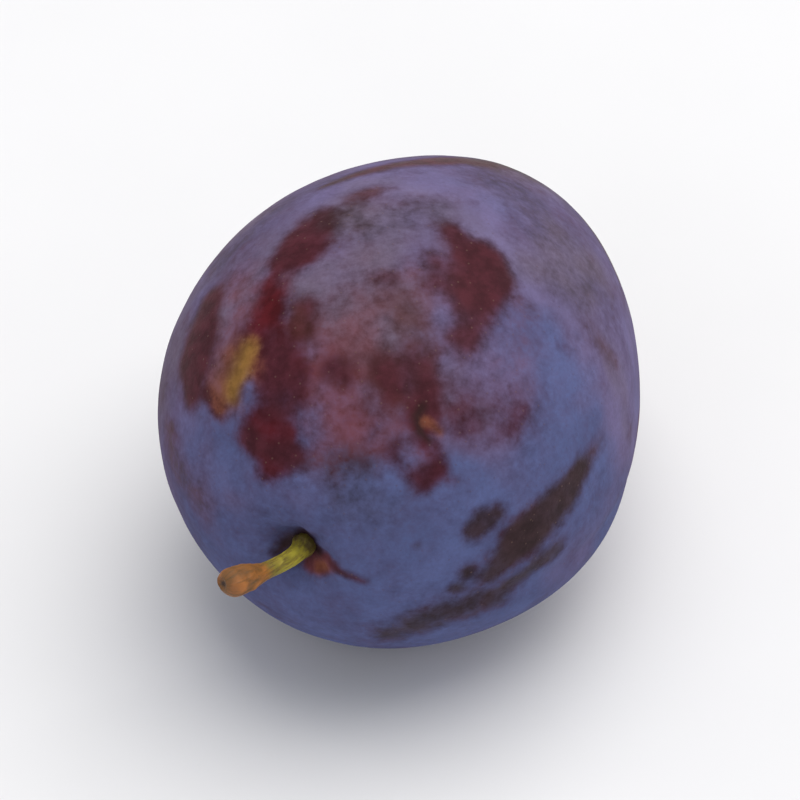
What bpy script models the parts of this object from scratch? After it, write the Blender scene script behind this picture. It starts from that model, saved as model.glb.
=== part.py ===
"""A ripe blue plum lying on its side, with its short stalk still in place.

The fruit is one solid: an egg-shaped body with a low keel and a shallow suture down one side, a stem
cavity at one end, a pinpoint blossom scar at the other, and a small flat spot underneath, where its
weight presses it against the table. The stalk is a second solid that stands in the cavity.

+Z is up, the origin is the centre of the flat spot, and the stem end points towards -Y and a little
towards -X. In the fruit's own frame +Z runs to the stem end and +X to the suture.
"""

import math

import bmesh
import bpy
from mathutils import Matrix, Vector

# The fruit's body, in metres. Its length runs from the stem end to the blossom tip.
FRUIT_LENGTH = 0.0505
CHEEK_WIDTH = 0.0403
SUTURE_WIDTH = 0.0406
BELLY = 0.136  # how much fuller the stem half is than the blossom half
TAPER = 0.071  # how much both ends draw in
END_SHIFT = 0.0005  # how far both ends sit towards the suture

# The suture is a groove along the keel, deepest at the stem. The keel's crest lies beside it.
KEEL_HEIGHT = 0.0012
KEEL_SPREAD = math.radians(20)
KEEL_TURN = math.radians(-8)
SUTURE_DEPTH = 0.0006
SUTURE_HALF_WIDTH = 0.0013

# The dents at the two ends.
CAVITY_DEPTH = 0.0023
CAVITY_RADIUS = 0.0031
SCAR_DEPTH = 0.0004
SCAR_RADIUS = 0.0014

# The stalk: a thin shaft that flares where it grows from the fruit and swells to a knob at the break.
STALK_LENGTH = 0.0095
STALK_UPRIGHT = 0.0028  # how far it stands straight out of the cavity before it leans
STALK_RADIUS = 0.00074
STALK_FOOT_RADIUS = 0.0011
STALK_KNOB_RADIUS = 0.00135
STALK_KNOB_LENGTH = 0.0038
STALK_BREAK_RADIUS = 0.0007
STALK_LEAN = math.radians(34)
STALK_LEAN_TURN = math.radians(176)
STALK_CLEARANCE = 0.0003

# How the fruit lies: which way the stem end points, how far it lifts, and how the fruit is rolled.
HEADING = math.radians(-24.7)
LIFT = math.radians(4.6)
ROLL = math.radians(-13.8)
FLAT_SPOT_RADIUS = 0.0038

# How finely the two solids are faceted. The rings crowd towards the stem, the meridians to the suture.
MERIDIANS = 60
RINGS = 36
STEM_CROWDING = 1.35
SUTURE_CROWDING = 0.5
STALK_RINGS = 24
STALK_QUARTER_FACETS = 4

# The colours, in linear light, and how rough the two surfaces are.
BLOOM_BLUE = (0.15, 0.12, 0.22)
BLOOM_ROUGHNESS = 0.65
STALK_OLIVE = (0.22, 0.15, 0.04)
STALK_ROUGHNESS = 0.7


def dent(distance, depth, radius):
    """The depth of a flat-floored, soft-shouldered dent at a distance from its middle."""
    return depth / (1 + (distance / radius) ** 4)


def body_point(along, turn):
    """A point of the skin: along is 0 at the stem end and pi at the tip, and turn is 0 at the suture."""
    axial = math.cos(along)
    girth = math.sin(along) * (1 + BELLY * axial - TAPER * axial**2)
    across = Vector((SUTURE_WIDTH * math.cos(turn), CHEEK_WIDTH * math.sin(turn), 0)) * girth / 2
    radius = across.length
    if radius > 0:
        keel = KEEL_HEIGHT * math.exp(-(((turn - KEEL_TURN) / KEEL_SPREAD) ** 2))
        fade = (1 + axial) / 2
        groove = SUTURE_DEPTH * fade * math.exp(-((radius * turn / SUTURE_HALF_WIDTH) ** 2))
        across *= 1 + (keel * math.sin(along) ** 2 - groove * math.sin(along)) / radius
    if axial > 0:
        pressed = -dent(radius, CAVITY_DEPTH, CAVITY_RADIUS)
    else:
        pressed = dent(radius, SCAR_DEPTH, SCAR_RADIUS)
    return across + Vector((END_SHIFT * axial**2, 0, FRUIT_LENGTH / 2 * axial + pressed))


def material(name, colour, roughness):
    """A Principled material of one colour."""
    made = bpy.data.materials.new(name)
    made.use_nodes = True
    shader = made.node_tree.nodes["Principled BSDF"]
    shader.inputs["Base Color"].default_value = (*colour, 1)
    shader.inputs["Roughness"].default_value = roughness
    return made


def add_object(name, data, surface, parent):
    """Puts a mesh or a curve into the scene as one named piece of the plum."""
    made = bpy.data.objects.new(name, data)
    made.data.materials.append(surface)
    made.parent = parent
    bpy.context.scene.collection.objects.link(made)
    return made


def lying_down():
    """The turn that lays the fruit's own frame on its side: its columns are the suture, cheek and stem."""
    stem = Vector((math.sin(HEADING) * math.cos(LIFT), -math.cos(HEADING) * math.cos(LIFT), math.sin(LIFT)))
    level = Vector((0, 0, 1)).cross(stem).normalized()
    suture = Matrix.Rotation(ROLL, 3, stem) @ level
    cheek = stem.cross(suture)
    return Matrix((suture, cheek, stem)).transposed()


def make_fruit(pose):
    """The body as a mesh in the fruit's own frame, and the centre of its flat spot there."""
    shape = bmesh.new()
    bmesh.ops.create_uvsphere(shape, u_segments=MERIDIANS, v_segments=RINGS, radius=1)
    for vertex in shape.verts:
        even_along = math.acos(max(-1.0, min(1.0, vertex.co.z)))
        even_turn = math.atan2(vertex.co.y, vertex.co.x)
        along = math.pi * (even_along / math.pi) ** STEM_CROWDING
        turn = even_turn - SUTURE_CROWDING * math.sin(even_turn)
        vertex.co = body_point(along, turn)
    down = pose.inverted() @ Vector((0, 0, -1))
    lowest = max(vertex.co.dot(down) for vertex in shape.verts)
    flat_depth = FLAT_SPOT_RADIUS**2 / CHEEK_WIDTH  # the sagitta of a cap of that radius
    for face in shape.faces:
        face.smooth = True
    cut = bmesh.ops.bisect_plane(
        shape,
        geom=shape.verts[:] + shape.edges[:] + shape.faces[:],
        plane_co=down * (lowest - flat_depth),
        plane_no=down,
        clear_outer=True,
    )
    rim = [part for part in cut["geom_cut"] if isinstance(part, bmesh.types.BMEdge)]
    flat = bmesh.ops.edgeloop_fill(shape, edges=rim)["faces"][0]
    flat_centre = flat.calc_center_median_weighted()
    bmesh.ops.triangulate(shape, faces=shape.faces[:])
    mesh = bpy.data.meshes.new("fruit")
    shape.to_mesh(mesh)
    shape.free()
    return mesh, flat_centre


def stalk_radius(distance):
    """The stalk's radius at a distance from its foot: a flare, a thin shaft, a swelling and a round end."""
    from_end = STALK_LENGTH - distance
    if from_end < STALK_KNOB_RADIUS:
        height = 1 - from_end / STALK_KNOB_RADIUS
        return max(STALK_BREAK_RADIUS, STALK_KNOB_RADIUS * math.sqrt(1 - height**2))
    flare = (STALK_FOOT_RADIUS - STALK_RADIUS) * math.exp(-distance / STALK_FOOT_RADIUS)
    rise = (STALK_KNOB_LENGTH - from_end) / (STALK_KNOB_LENGTH - STALK_KNOB_RADIUS)
    swell = (STALK_KNOB_RADIUS - STALK_RADIUS) * math.sin(math.pi / 2 * max(0.0, rise)) ** 2
    return STALK_RADIUS + flare + swell


def make_stalk():
    """The stalk as a bevelled curve: straight out of the cavity, then leaning away from the suture."""
    foot = Vector((END_SHIFT, 0, FRUIT_LENGTH / 2 - CAVITY_DEPTH + STALK_CLEARANCE))
    lean = Vector((math.cos(STALK_LEAN_TURN), math.sin(STALK_LEAN_TURN), 0))
    bend = foot + Vector((0, 0, STALK_UPRIGHT))
    onward = lean * math.sin(STALK_LEAN) + Vector((0, 0, math.cos(STALK_LEAN)))
    end = bend + onward * (STALK_LENGTH - STALK_UPRIGHT)
    curve = bpy.data.curves.new("stalk", "CURVE")
    curve.dimensions = "3D"
    curve.bevel_depth = STALK_RADIUS
    curve.bevel_resolution = STALK_QUARTER_FACETS
    curve.use_fill_caps = True
    spline = curve.splines.new("POLY")
    spline.points.add(STALK_RINGS - 1)
    for index, point in enumerate(spline.points):
        share = index / (STALK_RINGS - 1)
        place = foot.lerp(bend, share).lerp(bend.lerp(end, share), share)
        point.co = (*place, 1)
        point.radius = stalk_radius(share * STALK_LENGTH) / STALK_RADIUS
    return curve


def main():
    for leftover in list(bpy.data.objects):
        bpy.data.objects.remove(leftover)
    turned = lying_down()
    fruit, flat_centre = make_fruit(turned)
    posture = bpy.data.objects.new("posture", None)
    posture.matrix_world = Matrix.Translation(-(turned @ flat_centre)) @ turned.to_4x4()
    bpy.context.scene.collection.objects.link(posture)
    skin = material("bloomed_skin", BLOOM_BLUE, BLOOM_ROUGHNESS)
    bark = material("stalk", STALK_OLIVE, STALK_ROUGHNESS)
    add_object("fruit", fruit, skin, posture)
    add_object("stalk", make_stalk(), bark, posture)


main()
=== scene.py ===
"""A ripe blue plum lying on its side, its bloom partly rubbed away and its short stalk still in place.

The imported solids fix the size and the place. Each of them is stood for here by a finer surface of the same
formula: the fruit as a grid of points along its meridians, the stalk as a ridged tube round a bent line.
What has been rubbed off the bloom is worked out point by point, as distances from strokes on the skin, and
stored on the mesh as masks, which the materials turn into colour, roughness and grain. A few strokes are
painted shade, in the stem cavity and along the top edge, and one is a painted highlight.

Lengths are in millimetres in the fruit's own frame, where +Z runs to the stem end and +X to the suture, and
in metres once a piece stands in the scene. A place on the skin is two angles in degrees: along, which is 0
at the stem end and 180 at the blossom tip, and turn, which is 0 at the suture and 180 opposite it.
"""

import itertools
import logging
from collections.abc import Iterable
from dataclasses import dataclass
from enum import Enum
from typing import ClassVar

import bpy
import numpy as np
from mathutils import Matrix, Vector


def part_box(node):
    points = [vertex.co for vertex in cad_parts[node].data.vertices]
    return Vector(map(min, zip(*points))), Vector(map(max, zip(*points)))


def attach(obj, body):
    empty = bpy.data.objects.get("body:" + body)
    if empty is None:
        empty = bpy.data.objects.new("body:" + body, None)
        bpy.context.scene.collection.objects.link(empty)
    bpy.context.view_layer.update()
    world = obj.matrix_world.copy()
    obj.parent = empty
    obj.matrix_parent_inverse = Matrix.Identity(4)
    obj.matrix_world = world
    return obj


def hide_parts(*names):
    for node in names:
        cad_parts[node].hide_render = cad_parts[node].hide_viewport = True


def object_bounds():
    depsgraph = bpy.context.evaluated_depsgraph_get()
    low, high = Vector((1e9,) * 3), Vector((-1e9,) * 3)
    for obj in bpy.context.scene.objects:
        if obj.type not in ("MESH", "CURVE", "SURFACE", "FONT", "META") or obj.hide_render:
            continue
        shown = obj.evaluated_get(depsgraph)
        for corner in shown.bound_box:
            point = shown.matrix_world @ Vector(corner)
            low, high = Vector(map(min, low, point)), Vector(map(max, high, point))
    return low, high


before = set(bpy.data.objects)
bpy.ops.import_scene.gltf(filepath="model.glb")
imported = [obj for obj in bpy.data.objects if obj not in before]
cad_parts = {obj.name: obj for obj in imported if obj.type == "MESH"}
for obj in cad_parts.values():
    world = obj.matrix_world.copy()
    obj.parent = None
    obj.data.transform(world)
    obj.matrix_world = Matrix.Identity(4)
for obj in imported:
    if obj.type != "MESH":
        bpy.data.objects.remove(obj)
PACKED_BOX = [list(map(float, corner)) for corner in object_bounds()]

MM = 0.001
TINY = 1e-9  # keeps a division away from zero
GRAIN_RANGE = (0.3, 0.7)  # what most of a grain lies between
LOG = logging.getLogger("plum")

Colour = tuple[float, float, float]
Place = tuple[float, float]
Value = float | bpy.types.NodeSocket
Paint = Colour | bpy.types.NodeSocket


# ---------------------------------------------------------------- sums on whole arrays


def smooth_step(value: np.ndarray, low: float, high: float) -> np.ndarray:
    """Rises from 0 at low to 1 at high along a cubic that is level at both ends.

    Args:
        value: The numbers to shape.
        low: Where the step starts. It may be above high, and the step then falls.
        high: Where the step ends.

    Returns:
        The share of the step, between 0 and 1.
    """
    share = np.clip((value - low) / (high - low), 0.0, 1.0)
    return share * share * (3.0 - 2.0 * share)


def unit(vectors: np.ndarray) -> np.ndarray:
    """Scales each vector on the last axis to a length of 1.

    Args:
        vectors: Any array whose last axis holds the vectors.

    Returns:
        The unit vectors, with a zero vector left as it is.
    """
    return vectors / np.maximum(np.linalg.norm(vectors, axis=-1, keepdims=True), TINY)


@dataclass(frozen=True)
class BoxFit:
    """A stretch along each axis that takes a smooth surface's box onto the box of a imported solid.

    The solid is faceted, so the two boxes differ by hundredths of a millimetre and by a shift.

    Attributes:
        start: The smooth surface's lowest corner, in metres.
        scale: How much each axis is stretched.
        low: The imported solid's lowest corner, in metres.
    """

    start: np.ndarray
    scale: np.ndarray
    low: np.ndarray

    @classmethod
    def onto(cls, node: str, points: np.ndarray) -> "BoxFit":
        """Works out the stretch for a surface that stands for a node.

        Args:
            node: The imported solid's name.
            points: The surface's points in metres, on the last axis.

        Returns:
            The stretch.
        """
        low, high = (np.array(corner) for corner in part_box(node))
        flat = points.reshape(-1, 3)
        return cls(flat.min(axis=0), (high - low) / np.ptp(flat, axis=0), low)

    def apply(self, points: np.ndarray) -> np.ndarray:
        """Stretches points, in metres."""
        return self.low + (points - self.start) * self.scale


@dataclass(frozen=True)
class LatticeNoise:
    """Smooth noise read off a seeded cubic lattice of random numbers.

    Attributes:
        seed: The seed of the lattice's numbers.
        cells: How many cells the lattice has along each side before it repeats.
        layer_shift: How far each finer layer is moved, in millimetres, so that no two line up.
        axis_shifts: How far the noise is moved for each axis of a drift, in millimetres.
        crest: What layered noise is divided by, so that it seldom passes 1.
    """

    seed: int
    cells: int = 32
    layer_shift: float = 17.3
    axis_shifts: tuple[float, float, float] = (0.0, 41.0, 83.0)
    crest: float = 1.5

    def sample(self, points: np.ndarray, pitch: float) -> np.ndarray:
        """Blends the numbers at the eight corners of each point's cell by a quintic fade.

        Args:
            points: The points, in millimetres, on the last axis.
            pitch: The side of a cell, in millimetres.

        Returns:
            Noise between -1 and 1, one number to a point.
        """
        lattice = np.random.default_rng(self.seed).uniform(-1.0, 1.0, (self.cells,) * 3)
        scaled = points / pitch
        cell = np.floor(scaled).astype(int)
        part = scaled - cell
        fade = part**3 * (part * (part * 6.0 - 15.0) + 10.0)
        total = np.zeros(points.shape[:-1])
        for corner in itertools.product((0, 1), repeat=3):
            at = (cell + np.array(corner)) % self.cells
            share = np.prod(np.where(np.array(corner) == 1, fade, 1.0 - fade), axis=-1)
            total += lattice[at[..., 0], at[..., 1], at[..., 2]] * share
        return total

    def layered(self, points: np.ndarray, pitch: float, layers: int = 3) -> np.ndarray:
        """Adds finer and fainter layers of the noise, each at half the pitch and half the height.

        Args:
            points: The points, in millimetres, on the last axis.
            pitch: The coarsest layer's pitch, in millimetres.
            layers: How many layers to add.

        Returns:
            Noise between about -1 and 1, one number to a point.
        """
        total = np.zeros(points.shape[:-1])
        for layer in range(layers):
            shifted = points + self.layer_shift * layer
            total += self.sample(shifted, pitch / 2**layer) / 2**layer
        return total / self.crest

    def drift(self, points: np.ndarray, pitch: float, reach: float) -> np.ndarray:
        """Shifts each point by noise in all three directions, which makes a clean outline wander.

        Args:
            points: The points, in millimetres, on the last axis.
            pitch: The noise's coarsest pitch, in millimetres.
            reach: How far a point may be shifted along each axis, in millimetres.

        Returns:
            The shifted points.
        """
        shift = [self.layered(points + offset, pitch) for offset in self.axis_shifts]
        return points + reach * np.stack(shift, axis=-1)


@dataclass(frozen=True)
class Unevenness:
    """Layered noise of a chosen height and coarseness.

    Attributes:
        seed: The noise's seed.
        height: About the most that it adds or takes, in the units of what it is added to.
        pitch: The coarsest layer's pitch, in millimetres.
        layers: How many layers it has.
    """

    seed: int
    height: float
    pitch: float
    layers: int = 3

    def over(self, points: np.ndarray) -> np.ndarray:
        """Reads it at points, in millimetres, as the height times the layered noise."""
        return self.height * LatticeNoise(self.seed).layered(points, self.pitch, self.layers)


# ---------------------------------------------------------------- meshes from grids


def grid_normals(points: np.ndarray) -> np.ndarray:
    """Works out outward normals as the cross product of the steps down a spoke and round a ring.

    Args:
        points: The grid, as rings by spokes by three, running down from its upper end.

    Returns:
        One unit normal to a point. Each end ring takes the mean of the ring beside it.
    """
    down = np.gradient(points, axis=0)
    across = np.roll(points, -1, axis=1) - np.roll(points, 1, axis=1)
    normals = np.cross(down, across)
    normals[0] = normals[1].mean(axis=0)
    normals[-1] = normals[-2].mean(axis=0)
    return unit(normals)


def grid_faces(rings: int, spokes: int) -> np.ndarray:
    """Lists the quads between neighbouring rings of a grid that closes on itself round each ring.

    Args:
        rings: How many rings the grid has.
        spokes: How many points each ring has.

    Returns:
        Four point numbers to a row, turning the same way in every row.
    """
    ring = np.arange(rings - 1)[:, None] * spokes
    here = np.arange(spokes)[None, :]
    ahead = (here + 1) % spokes
    corners = (ring + here, ring + spokes + here, ring + spokes + ahead, ring + ahead)
    return np.stack(np.broadcast_arrays(*corners), axis=-1).reshape(-1, 4)


def closed_mesh(name: str, points: np.ndarray, masks: dict[str, np.ndarray]) -> bpy.types.Object:
    """Makes a smooth closed mesh from a grid whose first and last rings are each drawn into one point.

    Args:
        name: The piece's name.
        points: The grid in metres, as rings by spokes by three.
        masks: For each attribute's name, one number or one vector to each point of the grid.

    Returns:
        The new object, at the origin and linked into the scene.
    """
    rings, spokes, _ = points.shape
    body = points[1:-1].reshape(-1, 3)
    ends = np.stack([points[0].mean(axis=0), points[-1].mean(axis=0)])
    first, last = len(body), len(body) + 1
    spoke = np.arange(spokes)
    ahead = (spoke + 1) % spokes
    bottom = (rings - 3) * spokes
    quads = grid_faces(rings - 2, spokes)
    cap_start = np.stack([np.full(spokes, first), spoke, ahead], axis=-1)
    cap_end = np.stack([bottom + ahead, bottom + spoke, np.full(spokes, last)], axis=-1)
    faces = [*quads.tolist(), *cap_start.tolist(), *cap_end.tolist()]
    mesh = bpy.data.meshes.new(name)
    mesh.from_pydata(np.vstack([body, ends]).tolist(), [], faces)
    for key, values in masks.items():
        inner = values[1:-1].reshape(len(body), -1)
        poles = [values[end].reshape(spokes, -1).mean(axis=0) for end in (0, -1)]
        stored = np.vstack([inner, *poles]).astype(np.float32)
        kind, slot = ("FLOAT", "value") if stored.shape[1] == 1 else ("FLOAT_VECTOR", "vector")
        mesh.attributes.new(key, kind, "POINT").data.foreach_set(slot, stored.ravel())
    mesh.shade_smooth()
    made = bpy.data.objects.new(name, mesh)
    bpy.context.scene.collection.objects.link(made)
    return made


# ---------------------------------------------------------------- nodes and shared effects


class Wiring:
    """Adds nodes to one tree and joins them, so that a finish reads as a list of steps.

    A Mix node gives its colour sockets the same names as its others, so they go by number.
    """

    MIX_COLOURS: ClassVar[tuple[int, int]] = (6, 7)
    MIX_RESULT: ClassVar[int] = 2

    def __init__(self, tree: bpy.types.NodeTree) -> None:
        """Takes the tree to work on."""
        self.tree = tree

    def node(self, kind: str, settings: dict | None = None, inputs: dict | None = None) -> bpy.types.Node:
        """Adds one node.

        Args:
            kind: Blender's name for the node's type.
            settings: The node's own properties.
            inputs: For each input's name or number, a value or the output to join to it.

        Returns:
            The node.
        """
        made = self.tree.nodes.new(kind)
        for key, value in (settings or {}).items():
            setattr(made, key, value)
        for key, value in (inputs or {}).items():
            if isinstance(value, bpy.types.NodeSocket):
                self.tree.links.new(value, made.inputs[key])
            elif isinstance(value, tuple) and len(value) == 3 and made.inputs[key].type == "RGBA":
                made.inputs[key].default_value = (*value, 1.0)
            else:
                made.inputs[key].default_value = value
        return made

    def join(self, output: bpy.types.NodeSocket, node: bpy.types.Node, name: str) -> None:
        """Joins an output to a node's input of that name."""
        self.tree.links.new(output, node.inputs[name])

    def sum(
        self, operation: str, first: Value, second: Value = 0.0, third: Value = 0.0, clamp: bool = False
    ) -> bpy.types.NodeSocket:
        """Adds a Math node.

        Args:
            operation: The Math node's operation.
            first: The first number or output.
            second: The second number or output.
            third: The third number or output.
            clamp: Whether the result is held between 0 and 1.

        Returns:
            The node's output.
        """
        settings = {"operation": operation, "use_clamp": clamp}
        return self.node("ShaderNodeMath", settings, {0: first, 1: second, 2: third}).outputs[0]

    def blend(self, share: Value, start: Paint, end: Paint, mode: str = "MIX") -> bpy.types.NodeSocket:
        """Adds a Mix node for two colours.

        Args:
            share: How much of the second colour shows.
            start: The first colour.
            end: The second colour.
            mode: How the two are mixed.

        Returns:
            The mixed colour.
        """
        settings = {"data_type": "RGBA", "blend_type": mode}
        first, second = self.MIX_COLOURS
        made = self.node("ShaderNodeMix", settings, {0: share, first: start, second: end})
        return made.outputs[self.MIX_RESULT]

    def shade(self, colour: Paint, value: bpy.types.NodeSocket) -> bpy.types.NodeSocket:
        """Multiplies a colour by a number.

        Args:
            colour: The colour.
            value: The number, where 1 leaves the colour as it is.

        Returns:
            The darkened or lightened colour.
        """
        grey = self.node("ShaderNodeCombineColor", {}, {0: value, 1: value, 2: value}).outputs[0]
        return self.blend(1.0, colour, grey, "MULTIPLY")

    def remap(
        self,
        value: Value,
        low: Value,
        high: Value,
        to_low: Value = 0.0,
        to_high: Value = 1.0,
        smooth: bool = True,
    ) -> bpy.types.NodeSocket:
        """Adds a Map Range node.

        Args:
            value: The number to map.
            low: Where the range starts.
            high: Where it ends.
            to_low: What its start becomes.
            to_high: What its end becomes.
            smooth: Whether the step eases in and out.

        Returns:
            The mapped number.
        """
        kind = "SMOOTHSTEP" if smooth else "LINEAR"
        inputs = {0: value, 1: low, 2: high, 3: to_low, 4: to_high}
        return self.node("ShaderNodeMapRange", {"interpolation_type": kind}, inputs).outputs[0]

    def mask(self, name: str) -> bpy.types.NodeSocket:
        """Reads one of the mesh's own masks."""
        return self.node("ShaderNodeAttribute", {"attribute_name": name}).outputs["Fac"]

    def place(self) -> bpy.types.NodeSocket:
        """Reads the point on the piece, in metres."""
        return self.node("ShaderNodeTexCoord").outputs["Object"]

    def length(self, vector: bpy.types.NodeSocket) -> bpy.types.NodeSocket:
        """Measures the length of a vector."""
        return self.node("ShaderNodeVectorMath", {"operation": "LENGTH"}, {0: vector}).outputs["Value"]

    def relief(self, parts: Iterable[tuple[bpy.types.NodeSocket, float]]) -> bpy.types.NodeSocket:
        """Bumps a surface by a sum of outputs, each times the height that it stands for.

        Args:
            parts: Each output and its height, in millimetres.

        Returns:
            The bumped normal.
        """
        height: Value = 0.0
        for output, tall in parts:
            height = self.sum("MULTIPLY_ADD", output, tall, height)
        inputs = {"Height": height, "Distance": MM, "Strength": 1.0}
        return self.node("ShaderNodeBump", {}, inputs).outputs[0]

    def effect(self, group: bpy.types.NodeTree, inputs: dict) -> bpy.types.NodeSocket:
        """Places a shared effect.

        Args:
            group: The effect's node group.
            inputs: For each of its inputs, a value or the output to join to it.

        Returns:
            The group's one output.
        """
        return self.node("ShaderNodeGroup", {"node_tree": group}, inputs).outputs[0]


class Effects:
    """The effects that more than one finish uses, each a node group that is built once.

    Attributes:
        grain: Even grain.
        ragged: A ragged edge for a mask.
        pores: Scattered pores.
        GRAIN_ROUGHNESS: How strong each finer layer of the grain is.
        EDGE_LAYERS: How many layers the grain has that breaks up an edge.
        FULL_PUSH: What takes a swing of a half times a room of a quarter, both the most there is, to 1.
        PORE_CORE: How near a pore's middle it is whole, where 0 is its edge and 1 its middle.
    """

    GRAIN_ROUGHNESS: ClassVar[float] = 0.6
    EDGE_LAYERS: ClassVar[float] = 4.0
    FULL_PUSH: ClassVar[float] = 8.0
    PORE_CORE: ClassVar[float] = 0.6

    def __init__(self) -> None:
        """Builds the groups."""
        self.grain = self._grain()
        self.ragged = self._ragged()
        self.pores = self._pores()

    def grain_of(self, w: Wiring, size: float, layers: float = 3.0) -> bpy.types.NodeSocket:
        """Places the grain in a material.

        Args:
            w: The material's wiring.
            size: The grain's size, in millimetres.
            layers: How many finer layers it has.

        Returns:
            The grain, around a half.
        """
        return w.effect(self.grain, {"Place": w.place(), "Size": size, "Layers": layers})

    def pores_of(self, w: Wiring, spacing: float, width: float) -> bpy.types.NodeSocket:
        """Places the pores in a material.

        Args:
            w: The material's wiring.
            spacing: How far apart they are, in millimetres.
            width: How wide one is, in millimetres.

        Returns:
            1 in the middle of a pore and 0 between them.
        """
        return w.effect(self.pores, {"Place": w.place(), "Spacing": spacing, "Width": width})

    def ragged_mask(
        self, w: Wiring, mask: str, size: float, amount: float, crispness: float = 0.0
    ) -> bpy.types.NodeSocket:
        """Reads one of the mesh's masks and breaks up its edge.

        Args:
            w: The material's wiring.
            mask: The mask's name.
            size: The size of the grain that breaks it up, in millimetres.
            amount: How far that may shift the mask.
            crispness: How hard the edge is, from 0 to 1.

        Returns:
            The broken-up mask.
        """
        inputs = {"Mask": w.mask(mask), "Place": w.place()}
        return w.effect(self.ragged, inputs | {"Size": size, "Amount": amount, "Crispness": crispness})

    @staticmethod
    def _group(
        name: str, inputs: dict[str, float | None], output: str
    ) -> tuple[Wiring, bpy.types.Node, bpy.types.Node]:
        """Starts a node group that puts out one number.

        Args:
            name: The group's name.
            inputs: For each input's name, its usual value, or None for a vector.
            output: The output's name.

        Returns:
            The wiring, the group's input node and its output node.
        """
        tree = bpy.data.node_groups.new(name, "ShaderNodeTree")
        for label, value in inputs.items():
            kind = "NodeSocketVector" if value is None else "NodeSocketFloat"
            socket = tree.interface.new_socket(name=label, in_out="INPUT", socket_type=kind)
            if value is not None:
                socket.default_value = value
        tree.interface.new_socket(name=output, in_out="OUTPUT", socket_type="NodeSocketFloat")
        wiring = Wiring(tree)
        return wiring, wiring.node("NodeGroupInput"), wiring.node("NodeGroupOutput")

    def _grain(self) -> bpy.types.NodeTree:
        """Builds an even grain: layered noise of a size in millimetres, around a half.

        Returns:
            The node group.
        """
        w, given, out = self._group("even_grain", {"Place": None, "Size": 1.0, "Layers": 3.0}, "Grain")
        scale = w.sum("DIVIDE", 1.0 / MM, given.outputs["Size"])
        inputs = {"Vector": given.outputs["Place"], "Scale": scale, "Detail": given.outputs["Layers"]}
        noise = w.node("ShaderNodeTexNoise", {}, inputs | {"Roughness": self.GRAIN_ROUGHNESS})
        w.join(noise.outputs["Fac"], out, "Grain")
        return w.tree

    def _ragged(self) -> bpy.types.NodeTree:
        """Builds a ragged edge: noise shifts a mask where it is between 0 and 1 and leaves its ends alone.

        The shift is the noise's swing times the mask's room, which is the mask times one minus the mask.

        Returns:
            The node group.
        """
        inputs = {"Mask": 0.5, "Place": None, "Size": 1.0, "Amount": 0.5, "Crispness": 0.3}
        w, given, out = self._group("ragged_edge", inputs, "Mask")
        mask = given.outputs["Mask"]
        wiring = {"Place": given.outputs["Place"], "Size": given.outputs["Size"], "Layers": self.EDGE_LAYERS}
        swing = w.sum("SUBTRACT", w.effect(self.grain, wiring), 0.5)
        room = w.sum("MULTIPLY", mask, w.sum("SUBTRACT", 1.0, mask))
        push = w.sum("MULTIPLY", w.sum("MULTIPLY", swing, given.outputs["Amount"]), self.FULL_PUSH)
        shifted = w.sum("MULTIPLY_ADD", push, room, mask, clamp=True)
        half = w.sum("MULTIPLY", given.outputs["Crispness"], 0.5)
        crisp = w.remap(shifted, half, w.sum("SUBTRACT", 1.0, half), smooth=False)
        w.join(crisp, out, "Mask")
        return w.tree

    def _pores(self) -> bpy.types.NodeTree:
        """Builds scattered pores: a dot round the middle of each cell of a jittered lattice.

        Returns:
            The node group.
        """
        inputs = {"Place": None, "Spacing": 1.5, "Width": 0.25}
        w, given, out = self._group("scattered_pores", inputs, "Pores")
        scale = w.sum("DIVIDE", 1.0 / MM, given.outputs["Spacing"])
        cells = w.node("ShaderNodeTexVoronoi", {}, {"Vector": given.outputs["Place"], "Scale": scale})
        reach = w.sum("DIVIDE", w.sum("MULTIPLY", given.outputs["Width"], 0.5), given.outputs["Spacing"])
        nearness = w.sum("SUBTRACT", 1.0, w.sum("DIVIDE", cells.outputs["Distance"], reach))
        w.join(w.remap(nearness, 0.0, self.PORE_CORE), out, "Pores")
        return w.tree


# ---------------------------------------------------------------- the fruit


class Tone(Enum):
    """What the skin looks like under a rubbed place. Each value names the tone's mask on the mesh.

    Maroon is the skin's usual colour, crimson and brown are its redder and browner places, and rose is the
    redder skin under thin bloom. A graze is greyed by rubbing. Shade and dark mark is painted shade on the
    cavity's floor and beside the stalk's foot, and also the dark crescent by the scab. Ochre is the
    ground colour where it shows, and rust is the orange-brown round it and on the scab.
    """

    MAROON = "maroon"
    CRIMSON = "crimson"
    BROWN = "brown"
    GRAZE = "graze"
    SHADE_AND_DARK_MARK = "pit"
    ROSE = "rose"
    RUST = "rust"
    OCHRE = "ochre"


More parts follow.
